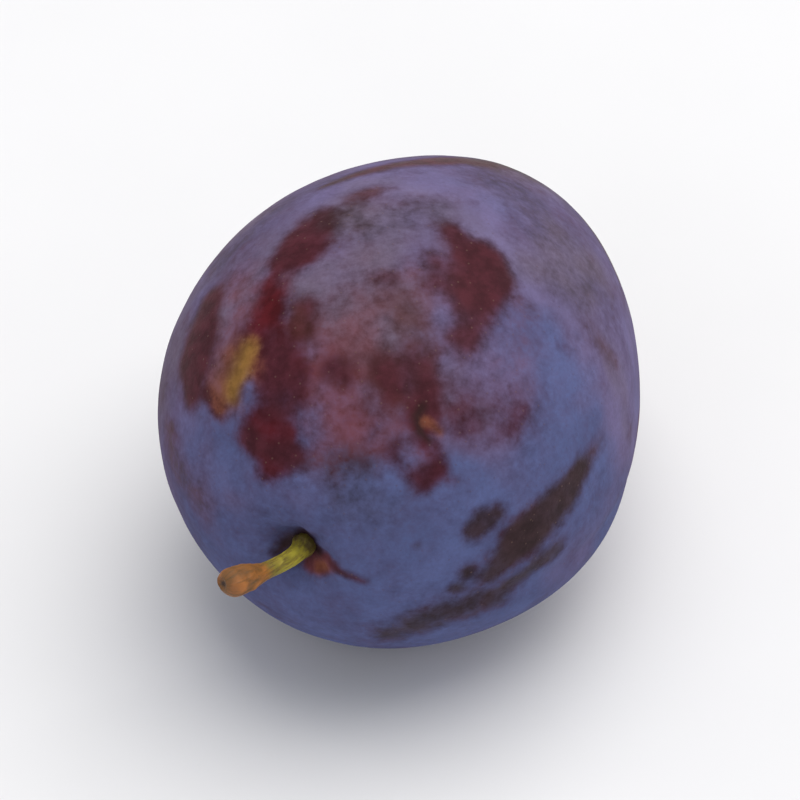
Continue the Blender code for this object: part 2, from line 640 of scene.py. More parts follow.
@dataclass(frozen=True)
class Rub:
    """A stroke on the skin where bloom was taken off, or where more of it lies, or where shade or a highlight
    is painted.

    Attributes:
        path: The stroke's points, each as along and turn in degrees.
        reach: Half the stroke's breadth at each point, in millimetres.
        wear: How much of the bloom is gone, from 0 to 1. Below 0 it lies thicker.
        soft: How far the stroke's edge fades, in millimetres.
        tone: What the skin looks like there.
        ragged: How ragged its outline is, where 1 is usual.
        FRAY_OF_REACH: How far the usual outline is shifted, as a share of the stroke's mean reach.
        FRAY_OF_SOFT: How much further, as a share of its softness.
    """

    path: tuple[Place, ...]
    reach: tuple[float, ...]
    wear: float = 0.9
    soft: float = 0.7
    tone: Tone = Tone.MAROON
    ragged: float = 1.0
    FRAY_OF_REACH: ClassVar[float] = 0.4
    FRAY_OF_SOFT: ClassVar[float] = 0.45

    def cover(self, points: np.ndarray, fray: np.ndarray, shape: "FruitShape") -> np.ndarray:
        """Finds how much of the stroke lies over each point, from its distance to the stroke's line.

        The distance is shifted by noise in proportion to the stroke's breadth and softness, which makes its
        outline ragged and leaves its place alone.

        Args:
            points: The points of the skin, in millimetres.
            fray: Noise between about -1 and 1 at each point.
            shape: The fruit's shape, which places the stroke's points.

        Returns:
            1 well inside the stroke, falling to 0 past its edge.
        """
        line = shape.places(self.path)
        gaps = [np.linalg.norm(points - line[0], axis=-1) - self.reach[0]]
        for start, end, near, far in zip(line, line[1:], self.reach, self.reach[1:]):
            run = end - start
            share = np.clip((points - start) @ run / (run @ run), 0.0, 1.0)
            foot = start + share[..., None] * run
            gaps.append(np.linalg.norm(points - foot, axis=-1) - (near + share * (far - near)))
        fray_reach = self.FRAY_OF_REACH * float(np.mean(self.reach)) + self.FRAY_OF_SOFT * self.soft
        return smooth_step(np.min(gaps, axis=0) + self.ragged * fray_reach * fray, self.soft, -self.soft)


@dataclass(frozen=True)
class Posture:
    """How the fruit lies: which way the stem end points, how far it lifts and how the fruit is rolled.

    Attributes:
        heading: The stem end's turn from -Y towards +X, in degrees.
        lift: The stem end's rise above level, in degrees.
        roll: The suture's turn about the stem axis, up from level, in degrees.
    """

    heading: float = -24.7
    lift: float = 4.6
    roll: float = -13.8

    def columns(self) -> np.ndarray:
        """Works out where the suture, cheek and stem directions point.

        Returns:
            A matrix that turns the fruit's own directions into the scene's.
        """
        heading, lift, roll = np.radians((self.heading, self.lift, self.roll))
        level = np.cos(lift)
        stem = np.array((np.sin(heading) * level, -np.cos(heading) * level, np.sin(lift)))
        side = unit(np.cross((0.0, 0.0, 1.0), stem))
        suture = np.cos(roll) * side + np.sin(roll) * np.cross(stem, side)
        return np.stack([suture, np.cross(stem, suture), stem], axis=-1)


@dataclass(frozen=True)
class FruitShape:
    """The fruit's outside: an egg with a keel, a suture, a stem cavity and a blossom scar.

    Attributes:
        length: From the stem end to the blossom tip, in millimetres, as all lengths are.
        cheek_width: Across the two cheeks.
        suture_width: From the suture to the side opposite it.
        belly: How much fuller the stem half is than the blossom half.
        taper: How much both ends draw in.
        end_shift: How far both ends sit towards the suture.
        keel_height: How high the keel beside the suture stands.
        keel_spread: The keel's half breadth, in degrees of turn.
        keel_turn: The turn of the keel's crest, in degrees.
        suture_depth: The suture's depth at the stem.
        suture_half_width: Half the suture's breadth.
        suture_sways: Its sways to and fro, each with its reach, its pace against along and its start.
        cavity_depth: The stem cavity's depth.
        cavity_radius: The cavity's radius at half its depth.
        scar_depth: The depth of the dimple round the blossom scar.
        scar_radius: That dimple's radius.
        flat_spot_radius: The radius of the flat spot that it rests on.
    """

    length: float = 50.5
    cheek_width: float = 40.3
    suture_width: float = 40.6
    belly: float = 0.136
    taper: float = 0.071
    end_shift: float = 0.5
    keel_height: float = 1.2
    keel_spread: float = 20.0
    keel_turn: float = -8.0
    suture_depth: float = 0.6
    suture_half_width: float = 1.3
    suture_sways: tuple[tuple[float, float, float], ...] = ((0.25, 2.6, 0.4), (0.12, 7.1, 0.0))
    cavity_depth: float = 2.3
    cavity_radius: float = 3.1
    scar_depth: float = 0.4
    scar_radius: float = 1.4
    flat_spot_radius: float = 3.8

    def skin(self, along: np.ndarray, turn: np.ndarray) -> np.ndarray:
        """Works out points of the skin in the fruit's own frame.

        The height is half the length times the cosine of along. The girth is its sine, fuller by the belly
        towards the stem and drawn in by the taper at both ends. The keel is a bell curve of turn added to
        the radius, the suture a narrower one taken from it about a line that sways by sines of along, and
        each end is dented by its depth divided by one plus the fourth power of the radius over the dent's
        own radius.

        Args:
            along: The angle from the stem end, in radians.
            turn: The angle round from the suture, in radians between minus and plus half a turn.

        Returns:
            The points, in millimetres, on a new last axis.
        """
        axial, polar = np.cos(along), np.sin(along)
        girth = polar * (1.0 + self.belly * axial - self.taper * axial**2) / 2.0
        x = self.suture_width * np.cos(turn) * girth
        y = self.cheek_width * np.sin(turn) * girth
        radius = np.maximum(np.hypot(x, y), TINY)
        bell = ((turn - np.radians(self.keel_turn)) / np.radians(self.keel_spread)) ** 2
        keel = self.keel_height * np.exp(-bell) * polar**2
        sway = sum(reach * np.sin(pace * along + start) for reach, pace, start in self.suture_sways)
        across = (radius * turn - sway * polar) / self.suture_half_width
        groove = self.suture_depth * (1.0 + axial) / 2.0 * np.exp(-(across**2)) * polar
        swell = 1.0 + (keel - groove) / radius
        stem_dent = self.cavity_depth / (1.0 + (radius / self.cavity_radius) ** 4)
        tip_dent = self.scar_depth / (1.0 + (radius / self.scar_radius) ** 4)
        z = self.length / 2.0 * axial + np.where(axial > 0.0, -stem_dent, tip_dent)
        return np.stack([x * swell + self.end_shift * axial**2, y * swell, z], axis=-1)

    def places(self, path: tuple[Place, ...]) -> np.ndarray:
        """Works out where places on the skin are.

        Args:
            path: The places, as along and turn in degrees.

        Returns:
            Their points in the fruit's own frame, in millimetres, one to a row.
        """
        along, turn = np.radians(np.array(path, dtype=float)).T
        return self.skin(along, (turn + np.pi) % (2.0 * np.pi) - np.pi)


@dataclass(frozen=True)
class Stand:
    """How the fruit's own frame stands in the scene.

    Attributes:
        columns: The matrix that turns the fruit's directions into the scene's.
        fit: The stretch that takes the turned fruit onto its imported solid.
    """

    columns: np.ndarray
    fit: BoxFit

    def place(self, points: np.ndarray) -> np.ndarray:
        """Takes points from the fruit's own frame, in millimetres, into the scene, in metres."""
        return self.fit.apply(points @ self.columns.T * MM)


# Two strokes that take nothing off and only change how blue the bloom is. The first is the worn cheek,
# where what is left of it looks grey. The second is the cheek beside it, where it is at its bluest but for
# the stem end.
DULL_CHEEK = Rub(((60, 98), (42, 92), (49, 72), (55, 62)), (2.5, 2.5, 2.0, 1.0), 0.0, 7.0, ragged=0.2)
BLUE_CHEEK = Rub(((82, 60), (79, 48), (70, 40)), (2.0, 3.0, 2.5), 0.0, 4.5, ragged=0.5)

# The strokes that show where hands, leaves and other fruit have rubbed the bloom, side by side; a few are
# painted shade or a painted highlight instead.
FRONT_RUBS = (
    # Broad places where the bloom is only thin: the worn cheek, the hollow beside it and the back.
    Rub(((61, 101), (57, 102), (50, 105)), (1.4, 3.2, 4.0), 0.52, 2.6, Tone.ROSE, 0.7),
    Rub(((44, 98), (36, 92), (29, 93)), (4.0, 4.0, 2.6), 0.68, 2.6, Tone.ROSE, 0.6),
    Rub(((42, 76), (36, 80)), (3.0, 2.6), 0.42, 2.4, Tone.ROSE, 0.7),
    Rub(((70, 94), (66, 90)), (1.0, 1.4), 0.2, 2.0, Tone.ROSE, 0.7),
    Rub(((76, 116), (70, 112), (62, 112)), (2.0, 2.6, 2.0), 0.16, 2.4, Tone.MAROON, 0.7),
    Rub(((56, 70), (58, 58), (62, 52)), (2.6, 3.0, 2.4), 0.42, 2.4, Tone.MAROON, 0.7),
    Rub(((78, 64), (70, 60)), (1.6, 1.6), 0.2, 1.8, Tone.ROSE),
    Rub(((83, 118), (81, 110), (88, 104), (92, 100)), (1.8, 2.2, 2.2, 1.8), 0.36, 2.0, Tone.GRAZE, 0.7),
    Rub(((113, 88), (108, 74), (102, 60), (94, 64)), (3.8, 4.8, 4.8, 3.4), 0.3, 3.2, Tone.GRAZE, 0.6),
    Rub(((67, 146), (60, 140), (52, 142), (44, 146)), (1.8, 2.4, 2.8, 2.6), 0.5, 2.4, Tone.ROSE, 0.7),
    Rub(((26, 74), (26, 58), (22, 86)), (2.6, 2.2, 2.0), 0.3, 2.2, Tone.GRAZE, 0.7),
    Rub(((44, -176), (36, -170), (28, -172)), (1.8, 1.8, 1.4), 0.55, 1.8, Tone.BROWN, 0.6),
    # Painted shade: bare and greyed skin in an arc along the top and upper-left edge as seen from the front,
    # standing in for the darker rim there.
    Rub(((95, 134), (102, 127), (108, 121), (115, 113)), (0.6, 1.1, 1.5, 1.7), 0.98, 0.9, Tone.MAROON, 0.5),
    Rub(((115, 113), (124, 106), (134, 99)), (1.7, 1.8, 1.3), 0.98, 0.9, Tone.MAROON, 0.5),
    Rub(((76, 154), (83, 147), (92, 141), (99, 136)), (1.6, 1.8, 1.8, 1.4), 0.34, 2.0, Tone.GRAZE, 0.6),
    # The long crimson band down the left of the upper cheek, and the spots along it.
    Rub(((82, 124), (77, 125), (71, 127)), (1.7, 2.2, 2.0), 0.97, 1.1, Tone.MAROON, 0.6),
    Rub(((71, 127), (66, 129), (61, 129)), (1.8, 1.5, 1.8), 0.9, 1.3, Tone.CRIMSON, 0.8),
    Rub(((59, 129), (57, 128)), (1.5, 1.6), 0.98, 0.8, Tone.CRIMSON, 0.5),
    Rub(((57, 119), (54, 117)), (1.4, 1.5), 0.92, 1.2, Tone.BROWN, 0.7),
    Rub(((57, 129), (51, 129), (46, 125)), (2.1, 3.1, 2.8), 0.94, 1.5, Tone.CRIMSON, 0.7),
    Rub(((46, 124), (41, 121), (36, 119)), (2.5, 2.2, 2.0), 0.88, 1.6, Tone.MAROON, 0.7),
    Rub(((32, 125), (29, 122), (25, 122)), (2.3, 2.7, 2.1), 0.97, 1.1, Tone.CRIMSON, 0.5),
    Rub(((29, 134), (26, 111)), (1.4, 1.5), 0.93, 1.1, Tone.MAROON, 0.7),
    Rub(((64, 153), (58, 155), (52, 158), (46, 161)), (1.9, 2.8, 3.0, 2.0), 0.99, 1.0, Tone.MAROON, 0.3),
    Rub(((43, 155), (39, 150)), (0.9, 1.0), 0.98, 0.5, Tone.MAROON, 0.4),
    Rub(((46, 139), (42, 144)), (2.3, 2.0), 0.78, 1.4, Tone.RUST, 0.5),
    Rub(((49, 134), (45, 137), (41, 141)), (1.0, 1.2, 1.0), 0.97, 0.8, Tone.OCHRE, 0.4),
    # The dark patch on the right of the upper cheek.
    Rub(((87, 93), (85, 87), (84, 82)), (1.5, 2.1, 2.2), 0.97, 1.0, Tone.MAROON, 0.4),
    Rub(((84, 83), (81, 79), (77, 80)), (2.2, 2.6, 2.4), 0.98, 1.0, Tone.MAROON, 0.3),
    Rub(((76, 79), (71, 76), (66, 76)), (2.2, 2.0, 1.7), 0.95, 1.3, Tone.MAROON, 0.4),
    Rub(((77, 92), (75, 88), (78, 84)), (1.2, 1.6, 1.8), 0.86, 1.4, Tone.MAROON, 0.5),
    # The worn middle, the scab on it and the ring of wear below.
    Rub(((62, 91), (58, 85), (54, 83)), (1.9, 2.6, 2.4), 0.66, 2.4, Tone.BROWN, 1.0),
    Rub(((54, 83), (50, 82), (46, 84)), (2.0, 2.2, 1.7), 0.72, 2.0, Tone.MAROON, 1.0),
    Rub(((48, 86), (47, 82)), (1.6, 1.5), 0.96, 1.1, Tone.BROWN, 0.7),
    Rub(((53, 77), (49, 74), (46, 74)), (1.5, 1.6, 1.3), 0.95, 1.1, Tone.MAROON, 0.5),
    Rub(((48, 73), (46, 69), (43, 64)), (1.0, 1.1, 0.6), 0.92, 1.0, Tone.CRIMSON, 0.5),
    Rub(((49, 74), (46.5, 73), (44.5, 69), (44.5, 65)), (0.4, 0.5, 0.5, 0.3), 0.98, 0.5, Tone.SHADE_AND_DARK_MARK, 0.2),
    Rub(((46.8, 70), (47.4, 64.2)), (0.36, 0.27), 0.92, 0.4, Tone.RUST, 0.15),
    Rub(((37, 71), (41, 72), (45, 63), (42, 56)), (0.6, 0.6, 0.6, 0.6), 0.78, 0.9, Tone.MAROON, 0.4),
    Rub(((42, 56), (38, 55), (36, 62), (37, 71)), (0.6, 0.6, 0.6, 0.6), 0.78, 0.9, Tone.MAROON, 0.4),
    Rub(((42, 56), (38, 56)), (1.0, 1.1), 0.9, 0.8, Tone.MAROON, 0.4),
    Rub(((40.5, 64),), (1.4,), 0.45, 1.0, Tone.ROSE, 0.5),
    Rub(((47, 104), (46, 99)), (1.2, 1.2), 0.88, 1.0, Tone.MAROON, 0.7),
    Rub(((69, 101),), (0.9,), 0.75, 0.8, Tone.MAROON),
    Rub(((64, 51), (60, 50)), (1.2, 1.1), 0.6, 1.1, Tone.MAROON),
    Rub(((55, 60), (53, 62)), (1.2, 1.3), 0.62, 1.1, Tone.MAROON),
    # The smudges low on the right, where the fruit was handled.
    Rub(((49, 30), (46, 30), (43, 28)), (1.0, 1.2, 1.0), 0.93, 0.8, Tone.GRAZE, 0.6),
    Rub(((78, 27), (71, 26)), (0.9, 1.3), 0.66, 1.1, Tone.BROWN, 0.8),
    Rub(((72, 27), (66, 23), (60, 21), (54, 19)), (1.4, 2.0, 2.1, 2.4), 0.97, 1.0, Tone.GRAZE, 0.35),
    Rub(((54, 19), (49, 14), (46, 10)), (2.2, 1.8, 1.1), 0.93, 1.2, Tone.GRAZE, 0.6),
    Rub(((63, 9), (56, 6), (51, 2), (48, -2)), (0.8, 1.0, 1.2, 1.4), 0.86, 1.0, Tone.GRAZE, 0.7),
    Rub(((40, 12),), (0.8,), 0.9, 0.7, Tone.GRAZE, 0.6),
    Rub(((38, 5),), (0.8,), 0.85, 0.7, Tone.GRAZE, 0.6),
    Rub(((42, -4), (37, -8), (34, -16), (32, -33)), (1.5, 1.9, 1.9, 1.4), 0.88, 1.5, Tone.GRAZE, 0.7),
    Rub(((30, 32),), (0.5,), 0.6, 0.5, Tone.GRAZE),
    # The back of the upper cheek, where more bloom is left, and a painted highlight of extra pale bloom.
    Rub(((90, 120), (93, 116), (95, 113)), (0.9, 1.1, 0.8), 0.8, 1.1, Tone.BROWN),
    Rub(((84, 122), (88, 114), (92, 106), (95, 102)), (1.0, 1.3, 1.3, 0.9), 0.34, 1.6, Tone.MAROON, 0.7),
    Rub(((81.5, 113),), (0.8,), 0.55, 0.8, Tone.CRIMSON),
    # Painted highlight: thicker, paler bloom on a small spot stands in for a soft glint.
    Rub(((86, 68), (92, 52)), (0.8, 0.8), -0.3, 0.9),
    Rub(((91, 56), (92, 48), (95, 37)), (0.4, 0.6, 0.5), 0.5, 0.9, Tone.BROWN, 0.6),
    Rub(((97, 108), (102, 97), (97, 88)), (2.2, 2.6, 2.0), -0.3, 1.6),
    Rub(((79, 56), (76, 47), (70, 42)), (2.6, 3.0, 2.4), -0.1, 2.2),
    # The suture's red line at the stem and the red wall of the cavity, and painted shade: a shadow line round
    # the stalk's foot and the cavity's dark floor.
    # Painted shadow: a dark line round the stalk's foot, where the cavity's wall shades it.
    Rub(((7, -138), (3, -160), (1.5, 100), (3.5, 15)), (0.6, 1.0, 1.2, 0.6), 0.96, 0.7, Tone.SHADE_AND_DARK_MARK, 0.3),
    # Painted shade: the cavity's dark floor.
    Rub(((0, 0),), (1.1,), 0.96, 0.4, Tone.SHADE_AND_DARK_MARK, 0.2),
    Rub(((5, -45), (5.5, -14), (7.5, 9)), (0.9, 1.3, 1.0), 0.97, 0.5, Tone.ROSE, 0.3),
    Rub(((6, -24), (7, -6)), (0.5, 0.5), 0.9, 0.6, Tone.RUST, 0.2),
    Rub(((10, 14), (13, 11), (17, 8)), (0.6, 0.5, 0.35), 0.92, 0.5, Tone.MAROON, 0.3),
)
HIDDEN_RUBS = (
    # The sides that a viewer sees only on walking round: first the thin places, then the scuffs in them.
    Rub(((102, 158), (94, 170), (84, 180)), (3.0, 4.4, 3.2), 0.45, 3.2, Tone.ROSE, 0.9),
    Rub(((68, -156), (80, -144), (93, -138)), (2.4, 3.6, 2.6), 0.5, 2.8, Tone.MAROON, 0.9),
    Rub(((130, 38), (138, 78), (136, 122)), (3.2, 4.0, 3.2), 0.34, 3.2, Tone.GRAZE, 0.8),
    Rub(((114, -58), (104, -76), (92, -90)), (3.0, 4.4, 3.2), 0.42, 3.2, Tone.ROSE, 0.9),
    Rub(((150, -118), (147, -160), (141, 158)), (2.4, 3.0, 2.4), 0.46, 2.6, Tone.MAROON, 0.9),
    Rub(((116, -124), (122, -140)), (3.0, 2.6), 0.3, 3.0, Tone.GRAZE, 0.9),
    Rub(((106, 149), (99, 157), (91, 161), (84, 170)), (0.5, 1.3, 1.7, 0.6), 0.9, 1.1, Tone.CRIMSON, 1.2),
    Rub(((90, 172), (85, 178), (83, -175)), (0.6, 1.3, 0.7), 0.85, 1.2, Tone.MAROON, 1.2),
    Rub(((72, -154), (80, -147), (90, -144)), (0.5, 1.5, 0.7), 0.88, 1.1, Tone.MAROON, 1.2),
    Rub(((66, -141), (62, -128)), (0.5, 0.9), 0.75, 1.0, Tone.GRAZE, 1.2),
    Rub(((144, 70), (136, 55), (127, 44), (120, 40)), (0.7, 1.9, 1.0, 0.4), 0.9, 1.0, Tone.MAROON, 0.9),
    Rub(((133, 88), (138, 108)), (1.0, 0.6), 0.72, 1.1, Tone.BROWN, 1.2),
    Rub(((99, -64), (104, -77), (98, -92)), (0.5, 1.1, 0.6), 0.72, 1.2, Tone.CRIMSON, 1.2),
    Rub(((143, 12), (135, -5), (127, -24)), (0.5, 1.2, 0.6), 0.8, 1.0, Tone.GRAZE, 1.0),
    Rub(((99, -17), (88, -29), (76, -34)), (0.5, 1.2, 0.8), 0.82, 1.0, Tone.GRAZE, 1.0),
    Rub(((152, -108), (145, -126), (137, -134)), (0.5, 1.2, 0.6), 0.85, 1.0, Tone.MAROON, 1.2),
    Rub(((58, -62), (50, -74), (46, -92)), (0.6, 1.4, 0.8), 0.7, 1.4, Tone.GRAZE, 1.0),
    Rub(((112, 14), (104, 6)), (0.4, 0.7), 0.75, 0.6, Tone.CRIMSON),
    Rub(((180, 0),), (1.2,), 0.7, 1.1, Tone.BROWN),
)


@dataclass(frozen=True)
class Scatter:
    """Small rubs at random places over the whole skin, as a fruit gets when it is picked and carried.

    Attributes:
        seed: The seed of the places.
        count: How many there are.
        heights: How far up the stem axis they lie, from -1 at the tip to 1 at the stem.
        longest: The longest stroke, in degrees of along.
        broadest: The broadest stroke's half breadth, in millimetres.
        slimness: The narrowest and the broadest, as square roots of their shares of that.
        narrowing: A stroke's breadth at its end as a share of that at its start.
        wears: The least and the most bloom that one takes off.
        soft: How far their edges fade, in millimetres.
    """

    seed: int = 11
    count: int = 70
    heights: tuple[float, float] = (-0.97, 0.9)
    longest: float = 9.0
    broadest: float = 0.7
    slimness: tuple[float, float] = (0.35, 1.0)
    narrowing: float = 0.6
    wears: tuple[float, float] = (0.15, 0.6)
    soft: float = 0.6

    def rubs(self) -> tuple[Rub, ...]:
        """Draws the strokes: an even spread over the skin, each with its own slant, breadth and wear.

        Returns:
            The strokes.
        """
        draw = np.random.default_rng(self.seed)
        along = np.degrees(np.arccos(draw.uniform(*self.heights, self.count)))
        turn = draw.uniform(-180.0, 180.0, self.count)
        step = self.longest * draw.uniform(-0.5, 0.5, (self.count, 2))
        reach = self.broadest * draw.uniform(*self.slimness, self.count) ** 2
        wear = draw.uniform(*self.wears, self.count)
        return tuple(
            Rub(((a, t), (a + da, t + dt)), (r, self.narrowing * r), w, self.soft)
            for a, t, (da, dt), r, w in zip(along, turn, step, reach, wear)
        )


@dataclass(frozen=True)
class Folds:
    """Folds that run out of a dent in the skin like spokes.

    Attributes:
        height: Their height, in millimetres, as the lengths below are.
        count: How many there are.
        radius: How far from the stem axis they are highest.
        spread: How far on both sides of that they die away.
        bend: What bends them, in radians of their wave.
    """

    height: float
    count: float
    radius: float
    spread: float
    bend: Unevenness

    def over(self, skin: np.ndarray, turn: np.ndarray, radius: np.ndarray) -> np.ndarray:
        """Works out their relief, as a cosine of the bent turn under a bell curve of the radius.

        Args:
            skin: The plain shape's points, in millimetres.
            turn: Each point's turn, in radians.
            radius: Each point's distance from the stem axis, in millimetres.

        Returns:
            The height at each point, in millimetres.
        """
        wave = np.cos(self.count * turn + self.bend.over(skin))
        return self.height * np.exp(-(((radius - self.radius) / self.spread) ** 2)) * wave


@dataclass(frozen=True)
class Blueness:
    """How blue the bloom is over the skin, from grey at 0 through lilac at a half to blue at 1.

    Attributes:
        usual: What it is over most of the skin.
        at_stem: How much the stem end adds.
        stem_heights: Where that comes in, as heights up the stem axis in millimetres.
        at_suture: How much the suture's side adds, on the stem's half.
        at_back: How much the opposite side takes away there.
        side_heights: Where the two sides come to differ, as heights in millimetres.
        drift: Its unevenness.
        dulling: How much the dull cheek takes away.
        bluing: How much the blue cheek adds.
    """

    usual: float = 0.42
    at_stem: float = 0.5
    stem_heights: tuple[float, float] = (12.0, 23.0)
    at_suture: float = 0.8
    at_back: float = 0.4
    side_heights: tuple[float, float] = (-6.0, 8.0)
    drift: Unevenness = Unevenness(25, 0.3, 8.0)
    dulling: float = 0.42
    bluing: float = 0.35

    def over(self, skin: np.ndarray, fray: np.ndarray, shape: FruitShape) -> np.ndarray:
        """Adds up what each part of the skin does to it, with a side's part as a share of the width.

        Args:
            skin: The plain shape's points, in millimetres.
            fray: Noise between about -1 and 1 at each point.
            shape: The fruit's shape.

        Returns:
            The blueness at each point, between 0 and 1.
        """
        height = skin[..., 2]
        blue = self.usual + self.at_stem * smooth_step(height, *self.stem_heights) + self.drift.over(skin)
        side = skin[..., 0] / shape.suture_width * smooth_step(height, *self.side_heights)
        blue += np.where(side > 0.0, self.at_suture, self.at_back) * side
        blue -= self.dulling * DULL_CHEEK.cover(skin, fray, shape)
        blue += self.bluing * BLUE_CHEEK.cover(skin, fray, shape)
        return np.clip(blue, 0.0, 1.0)


@dataclass(frozen=True)
class Fruit:
    """The fruit's skin as one fine closed grid, with its relief and the masks of its bloom.

    Attributes:
        shape: The outside's formula.
        posture: How it lies.
        blueness: How blue its bloom is.
        rings: Points down a meridian, both ends counted.
        spokes: Meridians.
        stem_crowding: How much the rings crowd towards the stem.
        suture_crowding: How much the meridians crowd towards the suture.
        mean_bloom: How much bloom lies on skin that nothing has rubbed, from 0 to 1.
        clouds: The unevenness of that bloom.
        drift_seed: The seed of the noise that makes the strokes wander.
        drift_pitch: That noise's pitch, in millimetres, as all lengths below are.
        drift_reach: How far they wander.
        fray: The noise that makes the strokes' outlines ragged.
        swells: The unevenness of the flesh, from broad to fine.
        stem_half: The heights up the stem axis over which the tip's half gives way to the stem's.
        stem_folds: The folds round the stem cavity.
        tip_folds: The creases round the blossom scar.
        scab_place: Where the scab is.
        scab_height: How high it stands.
        scab_radius: Its radius.
        graze_depth: The depth of the grazed places.
        collar_depth: How much deeper the cavity is close round the stalk.
        collar_radius: The radius of that deeper part.
        even_radii: The radii at which the relief starts and is whole, which keeps both ends even.
        press_soft: How softly the flat spot runs into the skin round it.
    """

    shape: FruitShape = FruitShape()
    posture: Posture = Posture()
    blueness: Blueness = Blueness()
    rings: int = 240
    spokes: int = 350
    stem_crowding: float = 1.25
    suture_crowding: float = 0.25
    mean_bloom: float = 0.85
    clouds: tuple[Unevenness, ...] = (Unevenness(23, 0.12, 9.0), Unevenness(24, 0.2, 2.8))
    drift_seed: int = 21
    drift_pitch: float = 4.0
    drift_reach: float = 0.3
    fray: Unevenness = Unevenness(22, 1.0, 2.6, 4)
    swells: tuple[Unevenness, ...] = (Unevenness(3, 0.18, 14.0, 2), Unevenness(4, 0.05, 5.0))
    stem_half: tuple[float, float] = (0.0, 8.0)
    stem_folds: Folds = Folds(0.12, 9.0, 3.2, 1.5, Unevenness(5, 3.75, 4.0, 1))
    tip_folds: Folds = Folds(0.06, 7.0, 1.8, 0.9, Unevenness(6, 3.0, 3.0, 1))
    scab_place: Place = (47, 68.5)
    scab_height: float = 0.1
    scab_radius: float = 0.7
    graze_depth: float = 0.06
    collar_depth: float = 0.45
    collar_radius: float = 1.9
    even_radii: tuple[float, float] = (0.2, 1.2)
    press_soft: float = 0.12

    def grid(self) -> tuple[np.ndarray, np.ndarray]:
        """Spaces the grid: along is half a turn times the even share to the power of the crowding.

        Returns:
            Along and turn in radians, each as rings by spokes.
        """
        share = np.linspace(0.0, 1.0, self.rings)
        even = np.linspace(-np.pi, np.pi, self.spokes, endpoint=False)
        turn = even - self.suture_crowding * np.sin(even)
        along, turn = np.meshgrid(np.pi * share**self.stem_crowding, turn, indexing="ij")
        return along, turn

    def relief(self, skin: np.ndarray, turn: np.ndarray, masks: dict[str, np.ndarray]) -> np.ndarray:
        """Works out how far each point stands off the plain shape.

        It is the sum of broad and fine noise, the folds at both ends and the scab's dome, less the grazes'
        dents. It dies away at the stem axis, where only the collar's dent is left.

        Args:
            skin: The plain shape's points, in millimetres.
            turn: Each point's turn, in radians.
            masks: The finished masks.

        Returns:
            The height at each point, in millimetres.
        """
        radius = np.hypot(skin[..., 0], skin[..., 1])
        stem_half = smooth_step(skin[..., 2], *self.stem_half)
        height = sum(swell.over(skin) for swell in self.swells)
        height += stem_half * self.stem_folds.over(skin, turn, radius)
        height += (1.0 - stem_half) * self.tip_folds.over(skin, turn, radius)
        from_scab = np.linalg.norm(skin - self.shape.places((self.scab_place,))[0], axis=-1)
        height += self.scab_height * np.exp(-((from_scab / self.scab_radius) ** 2))
        height -= self.graze_depth * masks[Tone.GRAZE.value]
        collar = self.collar_depth * np.exp(-((radius / self.collar_radius) ** 4)) * stem_half
        return height * smooth_step(radius, *self.even_radii) - collar

    def masks(self, skin: np.ndarray) -> dict[str, np.ndarray]:
        """Works out the bloom and the tones of the skin from the strokes.

        The bloom starts as noise round a mean and is multiplied by one minus wear times cover for each
        stroke. A tone is the greatest cover of the strokes that have it. The points drift by noise first, so
        that every stroke's outline wanders.

        Args:
            skin: The plain shape's points, in millimetres.

        Returns:
            For each mask's name, one number between 0 and 1 to a point.
        """
        drifted = LatticeNoise(self.drift_seed).drift(skin, self.drift_pitch, self.drift_reach)
        fray = self.fray.over(skin)
        bloom = self.mean_bloom + sum(cloud.over(skin) for cloud in self.clouds)
        tones = {tone.value: np.zeros(skin.shape[:-1]) for tone in Tone}
        for rub in (*FRONT_RUBS, *HIDDEN_RUBS, *Scatter().rubs()):
            cover = rub.cover(drifted, fray, self.shape)
            bloom *= 1.0 - rub.wear * cover
            np.maximum(tones[rub.tone.value], cover, out=tones[rub.tone.value])
        blue = self.blueness.over(skin, fray, self.shape)
        return tones | {"bloom": np.clip(bloom, 0.0, 1.0), "blue": blue}

    def press(self, height: np.ndarray) -> np.ndarray:
        """Presses points against the floor, as a parabola that joins the floor to the free skin.

        Args:
            height: Each point's height over the floor, in millimetres.

        Returns:
            The pressed heights, none below 0.
        """
        soft = self.press_soft
        joined = (np.clip(height, -soft, soft) + soft) ** 2 / (4.0 * soft)
        return np.where(height > soft, height, joined)

    def build(self) -> tuple[bpy.types.Object, Stand]:
        """Makes the skin in its place.

        Returns:
            The piece, and how the fruit's own frame stands.
        """
        along, turn = self.grid()
        skin = self.shape.skin(along, turn)
        masks = self.masks(skin)
        rough = skin + grid_normals(skin) * self.relief(skin, turn, masks)[..., None]
        columns = self.posture.columns()
        turned = rough @ columns.T
        floor = turned[..., 2].min() + self.shape.flat_spot_radius**2 / self.shape.cheek_width
        turned[..., 2] = floor + self.press(turned[..., 2] - floor)
        fit = BoxFit.onto("fruit", turned * MM)
        piece = closed_mesh("plum_skin", fit.apply(turned * MM), masks)
        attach(piece, "root")
        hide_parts("fruit")
        return piece, Stand(columns, fit)


# ---------------------------------------------------------------- the stalk


